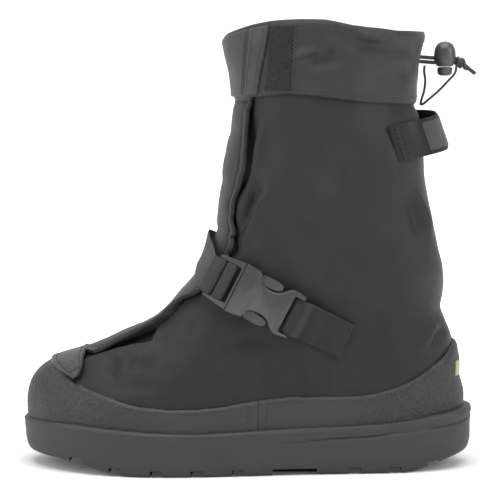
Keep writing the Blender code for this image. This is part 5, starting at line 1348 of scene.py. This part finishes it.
# Tab of the cuff, its bound edge, and the sewn loop patch beyond it.
tab_t = np.array(CUFF_TAB)
left_c, right_c = smooth(tab_t[:, 0], tab_t[:, 1]), smooth(tab_t[:, 0], tab_t[:, 2])
TV = np.linspace(18.2, 20.85, 60)
tp = np.array([np.linspace(phi_at_x(v, float(left_c(v)), 1), phi_at_x(v, float(right_c(v)), 1), 44) for v in TV])
tv = np.repeat(TV[:, None], 44, 1)
tpnt, tn_ = skin_n(tv, tp)
te = np.minimum(np.minimum(np.arange(44), 43 - np.arange(44))[None] * 0.5, np.minimum(np.arange(60), 59 - np.arange(60))[:, None] * 0.75)
base_out = GAP + CUFF + GAP + 1.0
streak = 0.0 * np.sin(np.arange(44) * 1.3 + np.sin(np.arange(60) * 0.2)[:, None] * 2.0) * (np.arange(44)[None] < 26)
strip = 0.8 * ease(np.arange(44.0)[None], 29, 30.5) - 2.0 * np.exp(-((np.arange(44)[None] - 27.5) / 1.1) ** 2)
tout = tpnt + tn_ * (base_out + TAB * (0.4 + 0.6 * np.clip(te / 0.8, 0, 1) ** 0.5) + streak + strip * 0.8)[..., None]
tout[..., 2] += (np.interp(tpnt[..., 0], [-17, 3, 17], [1.5, 3, 2.8]) * ease(tv, 19.6, 21.0))
tin = tpnt + tn_ * base_out
tin[..., 2] += (np.interp(tpnt[..., 0], [-17, 3, 17], [1.5, 3, 2.8]) * ease(tv, 19.6, 21.0))
piece("closing_tab", *slab(tout, tin), M["tab"], "nylon", ["cuff_tab"], sharp=60)
for k, col in enumerate((25, 32, 40)):
    capsules("closing_tab_stitches_%d" % k, *stitch_line(tout[2:-2, col] + tn_[2:-2, col] * 0.05, tn_[2:-2, col], 2.0, 0.9), 0.5, M["thread"], "nylon")
pg = np.array([[on_cuff(x_, z_, 0.0) for x_ in np.linspace(10 + (z_ - 255) * 0.12, 28 + (z_ - 255) * 0.05, 22)] for z_ in np.linspace(256, 298.5, 50)], dtype=object)
pgp = np.array([[c[0] for c in row] for row in pg])
pgn = unit(np.array([[c[1] for c in row] for row in pg]))
pe = np.minimum(np.minimum(np.arange(22), 21 - np.arange(22))[None] * 0.8, np.minimum(np.arange(50), 49 - np.arange(50))[:, None] * 0.85)
piece("loop_patch", *slab(pgp + pgn * (0.15 + 0.55 * np.clip(pe / 0.9, 0, 1))[..., None], pgp - pgn * 0.3), M["felt"], "nylon")
zz_, aa, bb, nn = np.linspace(255.5, 299.5, 34), [], [], []
for k in range(len(zz_) - 1):
    x_ = 28.6 + (zz_[k] - 255) * 0.05
    a, na = on_cuff(x_ + (1.1 if k % 2 else -1.1), zz_[k], 0.35)
    b, _ = on_cuff(x_ + (-1.1 if k % 2 else 1.1), zz_[k + 1], 0.35)
    aa.append(a), bb.append(b), nn.append(na)
capsules("loop_patch_zigzag", np.array(aa), np.array(bb), np.array(nn), 0.7, M["thread"], "nylon", lift=0.15)

# ------------------------------------------------------------------ the buckle
def plate(outline_, levels_):
    outline_ = np.asarray(outline_, float)
    normal = plan_normals(outline_)
    ls_ = [np.array([on_buckle(a, b, h_) for a, b in outline_ - normal * i_]) for h_, i_ in levels_]
    k_ = len(outline_)
    return np.concatenate(ls_), [tuple(range(k_))[::-1], tuple((len(ls_) - 1) * k_ + i for i in range(k_))] + [(r * k_ + i, r * k_ + (i + 1) % k_, (r + 1) * k_ + (i + 1) % k_, (r + 1) * k_ + i) for r in range(len(ls_) - 1) for i in range(k_)]


def block(s0, s1, half_, n0, n1):
    return plate([(s0, -half_), (s1, -half_), (s1, half_), (s0, half_)], [(n0, 0.0), (n1, 0.0)])


half = table(SOCKET)
bend = half[1:]
for _ in range(1):
    mids = np.stack([bend[:-1] * 0.75 + bend[1:] * 0.25, bend[:-1] * 0.25 + bend[1:] * 0.75], 1).reshape(-1, 2)
    bend = np.concatenate([bend[:1], mids, bend[-1:]])
half = np.concatenate([half[:1], bend])
outline = np.concatenate([half, half[::-1] * [1, -1]])
socket = plain("socket", *plate(outline, [(0.0, 0.6), (0.9, 0.0), (BUCKLE_T - 1.4, 0.0), (BUCKLE_T, 0.9)]))
carve("buckle_socket", socket, [
    (plain("cavity", *plate([(15.0, 13.6), (48.0, 13.6), (48.0, -13.6), (15.0, -13.6)], [(1.5, 0.0), (BUCKLE_T - 1.7, 0.0)])), "DIFFERENCE"),
    (plain("slot", *block(56.0, 59.4, SLOT_HALF, -5.0, 20.0)), "DIFFERENCE"), (plain("over", *block(58.0, 70.0, SLOT_HALF + 0.2, 5.4, 21.0)), "DIFFERENCE"),
    (plain("under", *block(58.2, 70.0, SLOT_HALF + 0.3, -5.2, 2.5)), "DIFFERENCE")], M["buckle"], ["buckle_female"], bevel=0.35, segments=2, sharp=20)
male = plain("male", *plate([(0.0, MALE_HALF - 0.8), (1.2, MALE_HALF), (MALE_L, MALE_HALF + 2.0), (MALE_L, -MALE_HALF - 2.0), (1.2, -MALE_HALF), (0.0, -MALE_HALF + 0.8)], [(1.6, 0.5), (2.1, 0.0), (5.5, 0.0), (6.0, 0.5)]))
tools = [(plain("slot_1", *block(3.0, 6.0, SLOT_HALF, -5.0, 20.0)), "DIFFERENCE"), (plain("slot_2", *block(11.0, 16.2, SLOT_HALF, -5.0, 20.0)), "DIFFERENCE"),
         (plain("lad_over", *block(-5.0, 13.0, SLOT_HALF + 0.2, 5.4, 20.0)), "DIFFERENCE"), (plain("lad_under", *block(-5.0, 13.2, SLOT_HALF + 0.3, -5.2, 2.3)), "DIFFERENCE"),
         (plain("tongue", *block(17.0, 42.0, 3.4, 2.2, 5.7)), "UNION")]
for name, sign in (("prong_a", 1), ("prong_b", -1)):
    arm = np.array([(17.0, 12.6), (30.4, 12.9), (31.2, 15.4), (34.0, 15.9), (40.0, 16.0), (44.0, 15.6), (46.2, 14.4), (46.4, 11.4), (43.0, 10.0), (30.0, 8.8), (17.0, 8.8)]) * [1, sign]
    tools.append((plain(name, *plate(arm, [(2.1, 0.0), (5.8, 0.0)])), "UNION"))
carve("buckle_plug", male, tools, M["buckle"], ["buckle_male"], bevel=0.35, segments=2, sharp=20)

# ------------------------------------------------------------------ webbing
ACROSS_F = np.linspace(-1, 1, 17)
ROUND = 1 - 0.75 * np.clip((np.abs(ACROSS_F) - 0.90) / 0.10, 0, 1) ** 2


def band(name, mid, normals_, sides_, thick, width, mat, nodes, low_rows=None, high_rows=None):
    """A webbing band with rounded selvages and its own lengths as UV."""
    if low_rows is None:
        c = mid[:, None] + sides_[:, None] * (ACROSS_F * width / 2)[None, :, None]
        high_rows = c + normals_[:, None] * (thick / 2 * ROUND)[None, :, None]
        low_rows = c - normals_[:, None] * (thick / 2 * ROUND)[None, :, None]
    run_ = np.concatenate([[0], np.cumsum(np.linalg.norm(np.diff(high_rows[:, 8], axis=0), axis=1))])
    uv = np.stack(np.meshgrid(run_, ACROSS_F * width / 2, indexing="ij"), -1).reshape(-1, 2)
    v_, f_ = slab(high_rows, low_rows)
    return piece(name, v_, f_, mat, "webbing", nodes, np.concatenate([uv, uv]), sharp=60)


rows = [(surface_at(x, z, 1)[0], out) for _, x, z, out in STRAP_INNER] + [(skin(np.array([v]), np.array([phi_at_y(v, y)]))[0], out) for _, v, y, out in STRAP_FRONT]
knots_ = np.array([p for p, _ in rows])
outs = np.array([o for _, o in rows])
run = np.concatenate([[0], np.cumsum(np.linalg.norm(np.diff(knots_, axis=0), axis=1))])
path, out_of = smooth(run, knots_), smooth(run, outs)
at = np.linspace(0, run[-1], 90)
centres, outs = path(at), out_of(at)
normals, sides = [], []
for c, d in zip(centres, np.gradient(centres, axis=0)):
    hit, normal, _, _ = _tree.find_nearest(Vector(c))
    normal = np.array(normal)
    if normal @ (np.array(hit) - np.array([60.0, 0.0, hit[2] - 20.0])) < 0:
        normal = -normal
    normals.append(normal)
    sides.append(unit(np.cross(normal, unit(d))))
normals, sides = unit(np.array(normals)), np.array(sides)
for _ in range(12):
    normals[1:-1] = unit(normals[:-2] + 2 * normals[1:-1] + normals[2:])
    sides[1:-1] = unit(sides[:-2] + 2 * sides[1:-1] + sides[2:])
if sides[-1] @ BW < 0:
    sides = -sides
low_r, high_r = [], []
for c, side, nrm, o in zip(centres, sides, normals, outs):
    d_ = np.array([across(c + side * f * WEB_W / 2 + nrm * 40.0, -nrm) for f in ACROSS_F])
    base_ = [c + side * f * WEB_W / 2 + nrm * (40.0 - dd) if dd < 59 else c + side * f * WEB_W / 2 for f, dd in zip(ACROSS_F, d_)]
    low_r.append([b + nrm * (o + WEB_T / 2 - WEB_T / 2 * r_) for b, r_ in zip(base_, ROUND)])
    high_r.append([b + nrm * (o + WEB_T / 2 + WEB_T / 2 * r_) for b, r_ in zip(base_, ROUND)])
lr = table(LADDER)
lrun = np.concatenate([[0], np.cumsum(np.linalg.norm(np.diff(lr, axis=0), axis=1))])
lr = np.stack([np.interp(np.linspace(0, lrun[-1], 60), lrun, lr[:, k]) for k in (0, 1)], -1)
for _ in range(2):
    lr[1:-1] = (lr[:-2] + 2 * lr[1:-1] + lr[2:]) / 4
lc = np.array([on_buckle(a, 0.0, b) for a, b in lr])
ls = np.repeat(BW[None], len(lc), 0)
ln = path_normals(lc, ls)
ln = -ln if ln[0] @ BN < 0 else ln
c = lc[:, None] + ls[:, None] * (ACROSS_F * WEB_W / 2)[None, :, None]
high_r = np.concatenate([np.array(high_r), c + ln[:, None] * (WEB_T / 2 * ROUND)[None, :, None]])
low_r = np.concatenate([np.array(low_r), c - ln[:, None] * (WEB_T / 2 * ROUND)[None, :, None]])
band("instep_webbing", None, None, None, WEB_T, WEB_W, M["webbing"], ["instep_strap"], low_r, high_r)

tab_rows = table(TAB_STRAP)
trun = np.arange(len(tab_rows))
fine = np.linspace(0, len(tab_rows) - 1, 70)
tr = np.stack([np.interp(fine, trun, tab_rows[:, k]) for k in range(3)], -1)
for _ in range(2):
    tr[1:-1, :2] = (tr[:-2, :2] + 2 * tr[1:-1, :2] + tr[2:, :2]) / 4
grid_c = []
for s_, h_, sewn in tr:
    far = [across(on_buckle(s_, f * WEB_W / 2, 40.0), -BN) for f in ACROSS_F]
    grid_c.append([on_buckle(s_, f * WEB_W / 2, h_ + sewn * (40.0 - far[k] + GAP + 0.05 + WEB_T / 2)) for k, f in enumerate(ACROSS_F)])
grid_c = np.array(grid_c)
tn = unit(np.cross(np.gradient(grid_c[:, 8], axis=0), np.repeat(BW[None], len(tr), 0)))
tn = -tn if tn[-1] @ BN < 0 and tn[0] @ BN < 0 else tn
off_ = tn[:, None] * (WEB_T / 2 * ROUND)[None, :, None]
band("heel_side_webbing", None, None, None, WEB_T, WEB_W, M["sewn"], ["strap_tab"], grid_c - off_, grid_c + off_)
top_c = grid_c + BN * (WEB_T / 2 + 0.1)
box_ = [top_c[1, k] for k in range(1, 16)] + [top_c[r, 15] for r in range(1, 15)] + [top_c[14, k] for k in range(15, 0, -1)] + [top_c[r, 1] for r in range(14, 0, -1)]
box_ = np.array(box_) + BN * 0.08
capsules("heel_side_stitches", *stitch_line(box_, np.repeat(BN[None], len(box_), 0), 2.2, 1.0), 0.55, M["thread"], "webbing")

lean = unit(np.array(LOOP_LEAN))
pts, tilt = [], []
for name, x, z, side in LOOP_SEWN:
    q, nn = surface_at(x, z, side)
    pts.append(q + nn * (GAP + 0.1 + LOOP_T / 2)), tilt.append(unit(lean - nn * (lean @ nn)))
for name, x, y, z in LOOP_FREE:
    pts.append((x, y, z)), tilt.append(lean)
for name, x, z, side in LOOP_SEWN_IN:
    q, nn = surface_at(x, z, side)
    pts.append(q + nn * (GAP + 0.1 + LOOP_T / 2)), tilt.append(unit(lean - nn * (lean @ nn)))
pts = np.array(pts)
run = np.concatenate([[0], np.cumsum(np.linalg.norm(np.diff(pts, axis=0), axis=1))])
at = np.linspace(0, run[-1], 120)
sides = unit(smooth(run, np.array(tilt))(at))
pts = smooth(run, pts)(at)
normals = path_normals(pts, sides)
normals = -normals if normals[60][0] < 0 else normals
band("pull_tab_webbing", pts, normals, sides, LOOP_T, LOOP_W, M["loop"], ["pull_loop"])
sel = slice(30, 58)
lab_c = pts[sel, None] + sides[sel, None] * (np.linspace(-1, 1, 13) * LOOP_W * 0.40)[None, :, None]
lab_n = normals[sel, None] * (LOOP_T / 2)
uvl = np.stack(np.meshgrid(np.arange(28) * 0.8, np.linspace(-1, 1, 13) * 9, indexing="ij"), -1).reshape(-1, 2)
v_, f_ = slab(lab_c + lab_n + normals[sel, None] * 0.45, lab_c + lab_n - normals[sel, None] * 0.05)
piece("bare_label", v_, f_, M["label"], "webbing", (), np.concatenate([uvl, uvl]))
aa, bb, nn = [], [], []
for k in range(14):
    w0 = -0.92 + k * 0.13
    base_i = 4 + (k % 2) * 2
    for i0 in (0,):
        a = pts[base_i] + sides[base_i] * (w0 * LOOP_W / 2) + normals[base_i] * (LOOP_T / 2 + 0.1)
        b = pts[10 - base_i] + sides[10 - base_i] * ((w0 + 0.13) * LOOP_W / 2) + normals[10 - base_i] * (LOOP_T / 2 + 0.1)
        aa.append(a), bb.append(b), nn.append(normals[5])
capsules("pull_tab_zigzag", np.array(aa), np.array(bb), np.array(nn), 0.6, M["thread"], "webbing", lift=0.2)

# A small pale patch on the back of the heel.
hp = []
for z_ in np.linspace(62, 72, 20):
    row = []
    for y_ in np.linspace(-17, -7, 30):
        hit, nrm, _, _ = _tree.ray_cast(Vector((260.0, y_, z_)), Vector((-1, 0, 0)))
        row.append((np.array(hit), np.array(nrm) if np.array(nrm)[0] > 0 else -np.array(nrm)))
    hp.append(row)
hq, hn = np.array([[c[0] for c in r_] for r_ in hp]), np.array([[c[1] for c in r_] for r_ in hp])
piece("heel_patch", *slab(hq + hn * 3.2, hq + hn * 1.6), M["heel_dot"], "rand")

for o in list(bpy.data.objects):
    if o.type == "MESH" and o.name.split(".")[0] in ("sole_body", "notches", "bars"):
        bpy.data.objects.remove(o)
